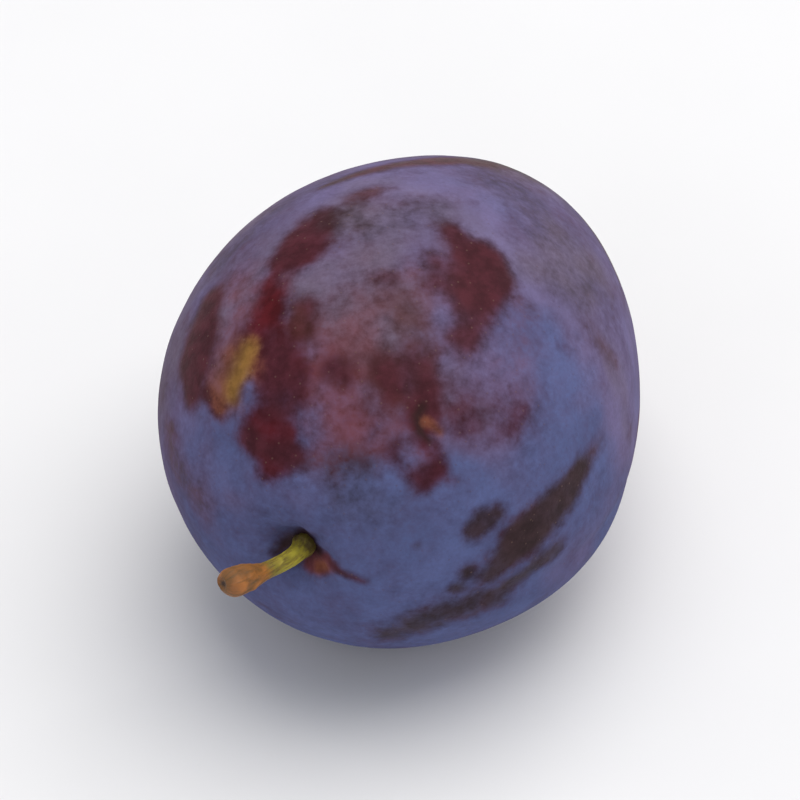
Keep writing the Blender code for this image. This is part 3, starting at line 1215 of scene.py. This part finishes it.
@dataclass(frozen=True)
class Stalk:
    """The stalk: a thin shaft out of the cavity that swells to a knob where it broke off the twig.

    Attributes:
        foot: Where its middle line starts, in the fruit's own frame, in millimetres, as all lengths are.
        length: The middle line's length.
        upright: How far it stands straight before it leans.
        lean: How far it leans from the stem axis, in degrees.
        lean_turn: Which way it leans, as a turn in degrees.
        radius: The shaft's radius.
        foot_radius: The radius where it grows from the fruit.
        flare_hold: How far below the foot it stops growing wider.
        knob_radius: The knob's radius.
        knob_length: How far from its end the shaft starts to swell.
        break_radius: The radius of the broken end's face.
        bowl_depth: How deep the middle of that face lies.
        scar_radii: How far from the middle of that face its scar starts, and where it is whole.
        sunk: How far the foot runs on into the fruit.
        twist: How far the ridges turn round it, in radians to a millimetre.
        ridges: Each set's height as a share of the shaft's radius, its number and its start in radians.
        knob_calm: How much flatter the ridges are on the knob.
        lumps: Its unevenness, for a height of 1.
        shaft_lumps: How high that is on the shaft.
        knob_lumps: How much higher it is on the knob.
        face_lumps: How high it is across the broken end's face.
        face_band: How far before the end that face's lumps start, and where they are whole.
        pits: Its finer unevenness.
        calm_radius: The radius below which the bark's relief dies away.
        hollow_rise: How fast the mask of the hollows grows with their depth.
        rings: Rings along it.
        face_rings: How many of them are on the broken end's face.
        end_crowding: How much the rest crowd towards that end.
        spokes: Points round it.
    """

    foot: tuple[float, float, float] = (0.5, 0.0, 23.25)
    length: float = 9.5
    upright: float = 2.8
    lean: float = 34.0
    lean_turn: float = 176.0
    radius: float = 0.74
    foot_radius: float = 0.95
    flare_hold: float = 0.4
    knob_radius: float = 1.35
    knob_length: float = 3.8
    break_radius: float = 0.7
    bowl_depth: float = 0.1
    scar_radii: tuple[float, float] = (0.665, 0.1)
    sunk: float = 1.3
    twist: float = 0.1
    ridges: tuple[tuple[float, float, float], ...] = ((0.035, 5.0, 0.6), (0.025, 9.0, 1.9))
    knob_calm: float = 0.6
    lumps: Unevenness = Unevenness(31, 1.0, 1.5)
    shaft_lumps: float = 0.04
    knob_lumps: float = 0.13
    face_lumps: float = 0.08
    face_band: tuple[float, float] = (0.5, 0.15)
    pits: Unevenness = Unevenness(32, 0.03, 0.6, 2)
    calm_radius: float = 0.5
    hollow_rise: float = 6.0
    rings: int = 150
    face_rings: int = 18
    end_crowding: float = 1.3
    spokes: int = 120

    def side_radius(self, distance: np.ndarray) -> np.ndarray:
        """Works out the radius: a flare that dies away, a shaft, a sine-squared swelling and a round end.

        Over the round end the square of the radius falls by the cube of the way to the face.

        Args:
            distance: The distances from the foot, in millimetres.

        Returns:
            The radius at each.
        """
        from_end = self.length - distance
        held = np.maximum(distance, -self.flare_hold)
        flare = (self.foot_radius - self.radius) * np.exp(-held / self.foot_radius)
        rise = (self.knob_length - from_end) / (self.knob_length - self.knob_radius)
        swell = (self.knob_radius - self.radius) * np.sin(np.pi / 2.0 * np.clip(rise, 0.0, 1.0)) ** 2
        height = np.clip(1.0 - from_end / self.knob_radius, 0.0, 1.0)
        lost = 1.0 - (self.break_radius / self.knob_radius) ** 2
        rounded = self.knob_radius * np.sqrt(1.0 - lost * height**3)
        return np.where(height > 0.0, rounded, self.radius + flare + swell)

    def profile(self) -> tuple[np.ndarray, np.ndarray]:
        """Lists the outline from the middle of the broken end down to the foot.

        The end's face is a shallow bowl: its distance drops by a depth times one minus the square of the
        radius over the face's radius.

        Returns:
            The distance from the foot and the radius at each ring.
        """
        face_radius = np.linspace(0.0, self.break_radius, self.face_rings, endpoint=False)
        bowl = self.length - self.bowl_depth * (1.0 - (face_radius / self.break_radius) ** 2)
        share = np.linspace(0.0, 1.0, self.rings - self.face_rings)
        distance = self.length - (self.length + self.sunk) * share**self.end_crowding
        return np.concatenate([bowl, distance]), np.concatenate([face_radius, self.side_radius(distance)])

    def middle(self, distance: np.ndarray) -> tuple[np.ndarray, np.ndarray, np.ndarray]:
        """Follows the middle line, a quadratic curve that goes on straight past its foot.

        Args:
            distance: The distances from the foot, in millimetres.

        Returns:
            The points on it, and two unit directions across it.
        """
        turn, lean = np.radians((self.lean_turn, self.lean))
        sideways = np.array((np.cos(turn), np.sin(turn), 0.0))
        up = np.array((0.0, 0.0, 1.0))
        foot = np.array(self.foot)
        bend = foot + self.upright * up
        end = bend + (self.length - self.upright) * (sideways * np.sin(lean) + up * np.cos(lean))
        share = (distance / self.length)[:, None]
        held = np.maximum(share, 0.0)
        points = (1.0 - held) ** 2 * foot + 2.0 * held * (1.0 - held) * bend + held**2 * end
        points = points + np.minimum(share, 0.0) * 2.0 * (bend - foot)
        heading = unit((1.0 - held) * (bend - foot) + held * (end - bend))
        level = np.broadcast_to(np.cross(up, sideways), heading.shape)
        return points, np.cross(level, heading), level

    def relief(
        self, smooth: np.ndarray, distance: np.ndarray, radius: np.ndarray, twist: np.ndarray
    ) -> tuple[np.ndarray, np.ndarray]:
        """Works out how far each point stands off the smooth tube.

        The radius is ridged by a sum of cosines of the twisted turn and roughened by noise, more so at the
        knob. The broken end's face is roughened along the stalk.

        Args:
            smooth: The tube's points, in millimetres.
            distance: Each ring's distance from the foot, in millimetres.
            radius: Each ring's radius, in millimetres.
            twist: Each point's turn, in radians, as the ridges turn.

        Returns:
            The height across the stalk and the height along it, in millimetres.
        """
        knob = smooth_step(distance, self.length - self.knob_length, self.length - self.knob_radius)[:, None]
        ridges = self.radius * sum(tall * np.cos(count * twist + start) for tall, count, start in self.ridges)
        lumps = self.lumps.over(smooth)
        bark = ridges * (1.0 - self.knob_calm * knob) + (self.shaft_lumps + self.knob_lumps * knob) * lumps
        side = smooth_step(radius, 0.0, self.calm_radius)[:, None]
        face = smooth_step(self.length - distance, *self.face_band)[:, None]
        return side * (bark + self.pits.over(smooth)), self.face_lumps * face * lumps

    def build(self, stand: Stand) -> bpy.types.Object:
        """Makes the stalk in its place, as its profile carried along the middle line.

        The mask of the hollows is a half on the smooth tube and grows with their depth.

        Args:
            stand: How the fruit's own frame stands.

        Returns:
            The piece.
        """
        distance, radius = self.profile()
        centre, first, second = self.middle(distance)
        turn = np.linspace(0.0, 2.0 * np.pi, self.spokes, endpoint=False)
        circle = np.cos(turn)[None, :, None] * first[:, None] + np.sin(turn)[None, :, None] * second[:, None]
        smooth = centre[:, None] + circle * radius[:, None, None]
        twist = turn[None, :] + self.twist * distance[:, None]
        height, push = self.relief(smooth, distance, radius, twist)
        points = smooth + circle * height[..., None] + push[..., None] * np.cross(first, second)[:, None]
        down = np.broadcast_to(distance[:, None], twist.shape)
        from_break = np.linalg.norm(smooth - centre[:1, None], axis=-1)
        masks = {
            "run": down / self.length,
            "grain": np.stack([np.cos(twist), np.sin(twist), down], axis=-1),
            "scar": smooth_step(from_break, *self.scar_radii),
            "hollow": np.clip(0.5 - self.hollow_rise * height, 0.0, 1.0),
        }
        piece = closed_mesh("plum_stalk", stand.place(points), masks)
        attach(piece, "root")
        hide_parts("stalk")
        return piece


# ---------------------------------------------------------------- finishes


def new_material(name: str) -> tuple[bpy.types.Material, Wiring, bpy.types.Node]:
    """Makes a material with an empty tree but for its shader and output.

    Args:
        name: The material's name.

    Returns:
        The material, the wiring for its tree, and its Principled shader.
    """
    made = bpy.data.materials.new(name)
    made.use_nodes = True
    made.node_tree.nodes.clear()
    wiring = Wiring(made.node_tree)
    shader = wiring.node("ShaderNodeBsdfPrincipled")
    wiring.node("ShaderNodeOutputMaterial", {}, {"Surface": shader.outputs[0]})
    return made, wiring, shader


@dataclass(frozen=True)
class SkinFinish:
    """Dark plum skin under a film of wax bloom, which the fruit's masks thin and take away.

    Attributes:
        tones: The colours of the rubbed places and of the painted shade, from the first that is painted to
            the last.
        dusk: The skin's darker patches.
        dusk_where: The part of the broad grain's range over which they come in.
        mottle: How far the middling grain darkens and lightens the skin.
        pore: The pores' colour.
        pore_share: How much of it shows.
        bloom_grey: The bloom's colour at the tip's end.
        bloom_lilac: Its colour in the middle.
        bloom_blue: Its colour towards the stem.
        blue_steps: The blueness at which it is still grey, is lilac and is fully blue.
        cloud: How far the broad grain darkens and lightens the bloom.
        dusting: How far the fine grain thins and thickens the bloom.
        dusting_where: The part of the fine grain's range over which it does.
        bloom_hiding: How well full bloom hides the skin.
        pore_bareness: How much less bloom lies on a pore.
        bare_roughness: The roughness of bare skin.
        bloom_roughness: The roughness of full bloom.
        bloom_full: How much bloom counts as full for that.
        roughness_swing: How far the fine grain shifts the roughness.
        grains: The sizes of the fine, middling and broad grain, in millimetres.
        pore_spacing: How far apart the pores are, in millimetres.
        pore_width: How wide a pore is, in millimetres.
        heights: How high the fine grain, the middling grain, the bloom and the pores stand, in millimetres.
        edge_size: The size of the grain that breaks up the masks' edges, in millimetres.
        bloom_raggedness: How far it may shift the bloom's mask.
        tone_raggedness: How far it may shift a tone's mask.
    """

    tones: tuple[tuple[Tone, Colour], ...] = (
        (Tone.ROSE, (0.135, 0.036, 0.042)),
        (Tone.CRIMSON, (0.082, 0.008, 0.012)),
        (Tone.BROWN, (0.07, 0.019, 0.018)),
        (Tone.MAROON, (0.066, 0.014, 0.021)),
        # Painted shade: the darkest tone, for the cavity's floor and the shadow by the stalk, and the dark
        # crescent by the scab.
        (Tone.SHADE_AND_DARK_MARK, (0.03, 0.012, 0.012)),
        (Tone.GRAZE, (0.04, 0.02, 0.023)),
        (Tone.RUST, (0.17, 0.055, 0.03)),
        (Tone.OCHRE, (0.23, 0.115, 0.03)),
    )
    dusk: Colour = (0.046, 0.012, 0.021)
    dusk_where: tuple[float, float] = (0.38, 0.62)
    mottle: tuple[float, float] = (0.72, 1.28)
    pore: Colour = (0.19, 0.11, 0.085)
    pore_share: float = 0.3
    bloom_grey: Colour = (0.175, 0.14, 0.21)
    bloom_lilac: Colour = (0.16, 0.135, 0.265)
    bloom_blue: Colour = (0.105, 0.13, 0.285)
    blue_steps: tuple[float, float, float] = (0.15, 0.5, 0.85)
    cloud: tuple[float, float] = (0.88, 1.12)
    dusting: tuple[float, float] = (0.86, 1.1)
    dusting_where: tuple[float, float] = (0.25, 0.75)
    bloom_hiding: float = 0.93
    pore_bareness: float = 0.22
    bare_roughness: float = 0.5
    bloom_roughness: float = 0.85
    bloom_full: float = 0.8
    roughness_swing: float = 0.06
    grains: tuple[float, float, float] = (0.35, 1.6, 7.0)
    pore_spacing: float = 0.85
    pore_width: float = 0.26
    heights: tuple[float, float, float, float] = (0.022, 0.05, 0.03, 0.02)
    edge_size: float = 0.8
    bloom_raggedness: float = 0.5
    tone_raggedness: float = 0.6

    def make(self, effects: Effects) -> bpy.types.Material:
        """Builds the material: skin, then the bloom's film over it, then roughness and relief.

        Args:
            effects: The shared effects.

        Returns:
            The material.
        """
        made, w, shader = new_material("bloomed_skin")
        fine_size, middling_size, broad_size = self.grains
        fine = effects.grain_of(w, fine_size)
        middling = effects.grain_of(w, middling_size, 4.0)
        broad = effects.grain_of(w, broad_size)
        pores = effects.pores_of(w, self.pore_spacing, self.pore_width)
        bloom = effects.ragged_mask(w, "bloom", self.edge_size, self.bloom_raggedness)
        skin = self.bare_skin(w, effects, broad)
        skin = w.shade(skin, w.remap(middling, *GRAIN_RANGE, *self.mottle))
        skin = w.blend(w.sum("MULTIPLY", pores, self.pore_share), skin, self.pore)
        grey, lilac, blue = self.blue_steps
        film = w.blend(w.remap(w.mask("blue"), grey, lilac), self.bloom_grey, self.bloom_lilac)
        film = w.blend(w.remap(w.mask("blue"), lilac, blue), film, self.bloom_blue)
        film = w.shade(film, w.remap(broad, *GRAIN_RANGE, *self.cloud))
        dusting = w.remap(fine, *self.dusting_where, *self.dusting, smooth=False)
        hiding = w.sum("MULTIPLY", w.sum("MULTIPLY", bloom, dusting), self.bloom_hiding, clamp=True)
        hiding = w.sum("MULTIPLY", hiding, w.sum("MULTIPLY_ADD", pores, -self.pore_bareness, 1.0))
        w.join(w.blend(hiding, skin, film), shader, "Base Color")
        rough = w.remap(bloom, 0.0, self.bloom_full, self.bare_roughness, self.bloom_roughness)
        swing = w.remap(fine, 0.0, 1.0, -self.roughness_swing, self.roughness_swing)
        w.join(w.sum("ADD", rough, swing, clamp=True), shader, "Roughness")
        shader.inputs["IOR"].default_value = 1.42
        shader.inputs["Specular IOR Level"].default_value = 0.1
        shader.inputs["Diffuse Roughness"].default_value = 0.2
        w.join(w.relief(zip((fine, middling, bloom, pores), self.heights)), shader, "Normal")
        return made

    def bare_skin(self, w: Wiring, effects: Effects, broad: bpy.types.NodeSocket) -> bpy.types.NodeSocket:
        """Paints the skin as it is with no bloom: its usual maroon with darker patches, then each tone.

        Args:
            w: The material's wiring.
            effects: The shared effects.
            broad: The broad grain.

        Returns:
            The skin's colour.
        """
        usual = dict(self.tones)[Tone.MAROON]
        skin = w.blend(w.remap(broad, *self.dusk_where), usual, self.dusk)
        for tone, colour in self.tones:
            mask = effects.ragged_mask(w, tone.value, self.edge_size, self.tone_raggedness)
            skin = w.blend(mask, skin, colour)
        return skin


@dataclass(frozen=True)
class StalkFinish:
    """Green bark that browns towards the knob, with streaks, painted shade in its hollows and a dark broken
    end.

    Attributes:
        bands: For each colour along the stalk, its share of the way from the foot and the colour.
        band_shift: How far the blotches shift the bands, as a share of the stalk.
        streak: The streaks' colour, which also darkens the pores and paints the shade in the hollows.
        streak_share: How much of it shows in a streak.
        streak_where: The part of the streaks' range over which it comes in.
        streak_scale: How fine the streaks are, twice across the stalk and once along it.
        streak_layers: How many layers of noise they have.
        hollow_shade_share: How much of it shows in a deep hollow, as painted shade.
        hollow_shade_where: The part of the hollows' mask over which that painted shade comes in.
        pore_share: How much of it shows in a pore.
        blotches: How far the blotches darken and lighten the bark.
        scar: The broken end's colour.
        scar_share: How much of it shows.
        scar_edge: The size of the grain that breaks up its edge, how far that shifts it and its crispness.
        roughness: The bark's mean roughness.
        roughness_swing: How far the fine grain shifts that.
        roughness_where: The part of the fine grain's range over which it does.
        grains: The sizes of the fine grain and of the blotches, in millimetres.
        pore_spacing: How far apart the pores are, in millimetres.
        pore_width: How wide a pore is, in millimetres.
        heights: How high the fine grain, the streaks and the pores stand, in millimetres.
    """

    bands: tuple[tuple[float, Colour], ...] = (
        (0.0, (0.12, 0.09, 0.012)),
        (0.05, (0.22, 0.18, 0.018)),
        (0.14, (0.32, 0.27, 0.022)),
        (0.46, (0.34, 0.29, 0.026)),
        (0.60, (0.23, 0.15, 0.018)),
        (0.71, (0.29, 0.105, 0.014)),
        (0.92, (0.38, 0.135, 0.026)),
        (1.0, (0.24, 0.09, 0.025)),
    )
    band_shift: float = 0.05
    streak: Colour = (0.10, 0.055, 0.015)
    streak_share: float = 0.6
    streak_where: tuple[float, float] = (0.48, 0.68)
    streak_scale: tuple[float, float, float] = (3.84, 3.84, 0.84)
    streak_layers: float = 4.0
    hollow_shade_share: float = 0.5
    hollow_shade_where: tuple[float, float] = (0.4, 1.0)
    pore_share: float = 0.5
    blotches: tuple[float, float] = (0.75, 1.25)
    scar: Colour = (0.03, 0.014, 0.01)
    scar_share: float = 0.9
    scar_edge: tuple[float, float, float] = (0.4, 0.5, 0.3)
    roughness: float = 0.62
    roughness_swing: float = 0.12
    roughness_where: tuple[float, float] = (0.2, 0.8)
    grains: tuple[float, float] = (0.16, 1.2)
    pore_spacing: float = 0.55
    pore_width: float = 0.16
    heights: tuple[float, float, float] = (0.025, 0.08, -0.02)

    def make(self, effects: Effects) -> bpy.types.Material:
        """Builds the material: banded bark, what darkens it, then roughness and relief.

        Args:
            effects: The shared effects.

        Returns:
            The material.
        """
        made, w, shader = new_material("stalk_bark")
        fine_size, blotch_size = self.grains
        fine = effects.grain_of(w, fine_size)
        blotch = effects.grain_of(w, blotch_size)
        pores = effects.pores_of(w, self.pore_spacing, self.pore_width)
        streaks = self.streaks(w)
        streaked = w.sum("MULTIPLY", w.remap(streaks, *self.streak_where), self.streak_share)
        bark = w.blend(streaked, self.banded(w, blotch), self.streak)
        bark = w.shade(bark, w.remap(blotch, *GRAIN_RANGE, *self.blotches))
        # Painted shade: the bark darkens towards the streaks' colour in the deep hollows between the ridges.
        hollow = w.remap(w.mask("hollow"), *self.hollow_shade_where, 0.0, self.hollow_shade_share)
        bark = w.blend(hollow, bark, self.streak)
        bark = w.blend(w.sum("MULTIPLY", pores, self.pore_share), bark, self.streak)
        broken = effects.ragged_mask(w, "scar", *self.scar_edge)
        bark = w.blend(w.sum("MULTIPLY", broken, self.scar_share), bark, self.scar)
        w.join(bark, shader, "Base Color")
        smoothest, roughest = self.roughness - self.roughness_swing, self.roughness + self.roughness_swing
        w.join(w.remap(fine, *self.roughness_where, smoothest, roughest), shader, "Roughness")
        shader.inputs["IOR"].default_value = 1.45
        shader.inputs["Diffuse Roughness"].default_value = 0.4
        w.join(w.relief(zip((fine, streaks, pores), self.heights)), shader, "Normal")
        return made

    def streaks(self, w: Wiring) -> bpy.types.NodeSocket:
        """Draws noise out along the stalk, on the mesh's own grain coordinates.

        Args:
            w: The material's wiring.

        Returns:
            The streaks, around a half.
        """
        grain = w.node("ShaderNodeAttribute", {"attribute_name": "grain"}).outputs["Vector"]
        drawn_out = w.node("ShaderNodeMapping", {}, {"Vector": grain, "Scale": self.streak_scale})
        inputs = {"Vector": drawn_out.outputs[0], "Scale": 1.0, "Detail": self.streak_layers}
        return w.node("ShaderNodeTexNoise", {}, inputs).outputs["Fac"]

    def banded(self, w: Wiring, blotch: bpy.types.NodeSocket) -> bpy.types.NodeSocket:
        """Runs the bands' colours along the stalk, their borders shifted by the blotches.

        Args:
            w: The material's wiring.
            blotch: The blotches, around a half.

        Returns:
            The bark's colour.
        """
        shift = w.remap(blotch, *GRAIN_RANGE, -self.band_shift, self.band_shift)
        ramp = w.node("ShaderNodeValToRGB", {}, {0: w.sum("ADD", w.mask("run"), shift, clamp=True)})
        elements = ramp.color_ramp.elements
        while len(elements) < len(self.bands):
            elements.new(1.0)
        for element, (share, colour) in zip(elements, self.bands):
            element.position = share
            element.color = (*colour, 1.0)
        return ramp.outputs[0]


@dataclass(frozen=True)
class FloorFinish:
    """A pale matt tabletop, with the faintest unevenness, that fades into the backdrop far from the object.

    Attributes:
        backdrop: The colour that it fades into, for the camera alone.
        colour: The tabletop's colour.
        shade: How much darker its darker places are.
        cloud_size: The size of those places, in millimetres.
        cloud_where: The part of their grain's range over which they come in.
        roughness: How rough it is.
        fade: The distances from the origin at which the fade starts and ends, in metres.
    """

    backdrop: Colour
    colour: Colour = (0.82, 0.82, 0.83)
    shade: float = 0.015
    cloud_size: float = 40.0
    cloud_where: tuple[float, float] = (0.35, 0.65)
    roughness: float = 0.75
    fade: tuple[float, float] = (0.12, 0.75)

    def make(self, effects: Effects) -> bpy.types.Material:
        """Builds the material.

        Args:
            effects: The shared effects.

        Returns:
            The material.
        """
        made, w, shader = new_material("pale_tabletop")
        cloud = w.remap(effects.grain_of(w, self.cloud_size), *self.cloud_where)
        darker = tuple(channel * (1.0 - self.shade) for channel in self.colour)
        w.join(w.blend(cloud, self.colour, darker), shader, "Base Color")
        shader.inputs["Roughness"].default_value = self.roughness
        shader.inputs["Specular IOR Level"].default_value = 0.2
        far = w.remap(w.length(w.place()), *self.fade)
        seen = w.node("ShaderNodeLightPath").outputs["Is Camera Ray"]
        glow = w.node("ShaderNodeEmission", {}, {"Color": self.backdrop})
        share = w.sum("MULTIPLY", far, seen)
        mixed = w.node("ShaderNodeMixShader", {}, {0: share, 1: shader.outputs[0], 2: glow.outputs[0]})
        w.tree.links.new(mixed.outputs[0], shader.outputs[0].links[0].to_socket)
        return made


# ---------------------------------------------------------------- the room


@dataclass(frozen=True)
class Lamp:
    """One large soft lamp.

    Attributes:
        name: What it is for.
        place: Where it hangs, in metres.
        side: The side of its square face, in metres.
        power: Its power in watts.
        colour: Its colour.
    """

    name: str
    place: tuple[float, float, float]
    side: float
    power: float
    colour: Colour

    def hang(self, target: Vector) -> None:
        """Hangs the lamp so that it faces a point. The camera doesn't see it.

        Args:
            target: The point, in metres.
        """
        data = bpy.data.lights.new(self.name, "AREA")
        data.size = self.side
        data.energy = self.power
        data.color = self.colour
        lamp = bpy.data.objects.new(self.name, data)
        lamp.location = self.place
        lamp.rotation_euler = (target - Vector(self.place)).to_track_quat("-Z", "Y").to_euler()
        lamp.visible_camera = False
        bpy.context.scene.collection.objects.link(lamp)


@dataclass(frozen=True)
class Studio:
    """The floor, the lamps, the pale surroundings and the camera.

    Attributes:
        floor_side: The floor's side, in metres.
        lamps: The lamps.
        sky: The surroundings' colour as they light the scene.
        sky_strength: Their strength.
        backdrop: The surroundings' colour as the camera sees them.
        rise: The camera's angle above level, in degrees.
        distance: Its distance from the middle of the object, in metres.
        coverage: The breadth of what it shows at that distance, in metres.
        sensor: The breadth of its sensor, in millimetres.
        clip: The nearest and the furthest that it sees, in metres.
    """

    floor_side: float = 12.0
    lamps: tuple[Lamp, ...] = (
        Lamp("key_lamp", (0.20, 0.12, 1.15), 1.2, 12.3, (1.0, 0.97, 0.94)),
        Lamp("front_lamp", (-0.5, -0.9, 0.8), 1.0, 1.8, (0.88, 0.93, 1.0)),
        Lamp("side_lamp", (1.0, 0.6, 0.3), 0.9, 2.8, (1.0, 0.99, 0.98)),
    )
    sky: Colour = (0.93, 0.96, 1.0)
    sky_strength: float = 0.48
    backdrop: Colour = (0.9, 0.9, 0.91)
    rise: float = 45.0
    distance: float = 0.6
    coverage: float = 0.07
    sensor: float = 36.0
    clip: tuple[float, float] = (0.01, 50.0)

    def lay_floor(self, effects: Effects) -> None:
        """Lays the floor as one flat square.

        Args:
            effects: The shared effects.
        """
        half = self.floor_side / 2.0
        corners = [(-half, -half, 0.0), (half, -half, 0.0), (half, half, 0.0), (-half, half, 0.0)]
        mesh = bpy.data.meshes.new("tabletop")
        mesh.from_pydata(corners, [], [(0, 1, 2, 3)])
        floor = bpy.data.objects.new("tabletop", mesh)
        bpy.context.scene.collection.objects.link(floor)
        mesh.materials.append(FloorFinish(self.backdrop).make(effects))

    def light(self, target: Vector) -> None:
        """Hangs the lamps and sets the surroundings, which look paler to the camera than they light.

        Args:
            target: The point that the lamps face.
        """
        for lamp in self.lamps:
            lamp.hang(target)
        world = bpy.data.worlds.new("pale_room")
        world.use_nodes = True
        world.node_tree.nodes.clear()
        w = Wiring(world.node_tree)
        lit = w.node("ShaderNodeBackground", {}, {"Color": self.sky, "Strength": self.sky_strength})
        seen = w.node("ShaderNodeBackground", {}, {"Color": self.backdrop})
        ray = w.node("ShaderNodeLightPath").outputs["Is Camera Ray"]
        mixed = w.node("ShaderNodeMixShader", {}, {0: ray, 1: lit.outputs[0], 2: seen.outputs[0]})
        w.node("ShaderNodeOutputWorld", {}, {"Surface": mixed.outputs[0]})
        bpy.context.scene.world = world

    def set_camera(self, target: Vector) -> None:
        """Sets the camera in front of the object and above it.

        Args:
            target: The point that it faces.
        """
        data = bpy.data.cameras.new("camera")
        data.sensor_width = self.sensor
        data.lens = self.sensor * self.distance / self.coverage
        data.clip_start, data.clip_end = self.clip
        camera = bpy.data.objects.new("camera", data)
        rise = np.radians(self.rise)
        offset = Vector((0.0, -float(np.cos(rise)), float(np.sin(rise))))
        camera.location = target + self.distance * offset
        camera.rotation_euler = (-offset).to_track_quat("-Z", "Y").to_euler()
        bpy.context.scene.collection.objects.link(camera)
        bpy.context.scene.camera = camera
        bpy.context.scene.view_settings.view_transform = "Standard"


# ---------------------------------------------------------------- putting it together


def main() -> None:
    """Builds the plum and its room."""
    logging.basicConfig(level=logging.INFO, format="%(name)s: %(message)s")
    target = Vector([(low + high) / 2.0 for low, high in zip(*PACKED_BOX)])
    effects = Effects()
    studio = Studio()
    studio.lay_floor(effects)
    studio.light(target)
    studio.set_camera(target)
    LOG.info("studio: floor, %d lamps and camera", len(studio.lamps))
    skin, stand = Fruit().build()
    skin.data.materials.append(SkinFinish().make(effects))
    LOG.info("fruit: %s with %d faces", skin.name, len(skin.data.polygons))
    stalk = Stalk().build(stand)
    stalk.data.materials.append(StalkFinish().make(effects))
    LOG.info("stalk: %s with %d faces", stalk.name, len(stalk.data.polygons))


if __name__ == "__main__":
    main()
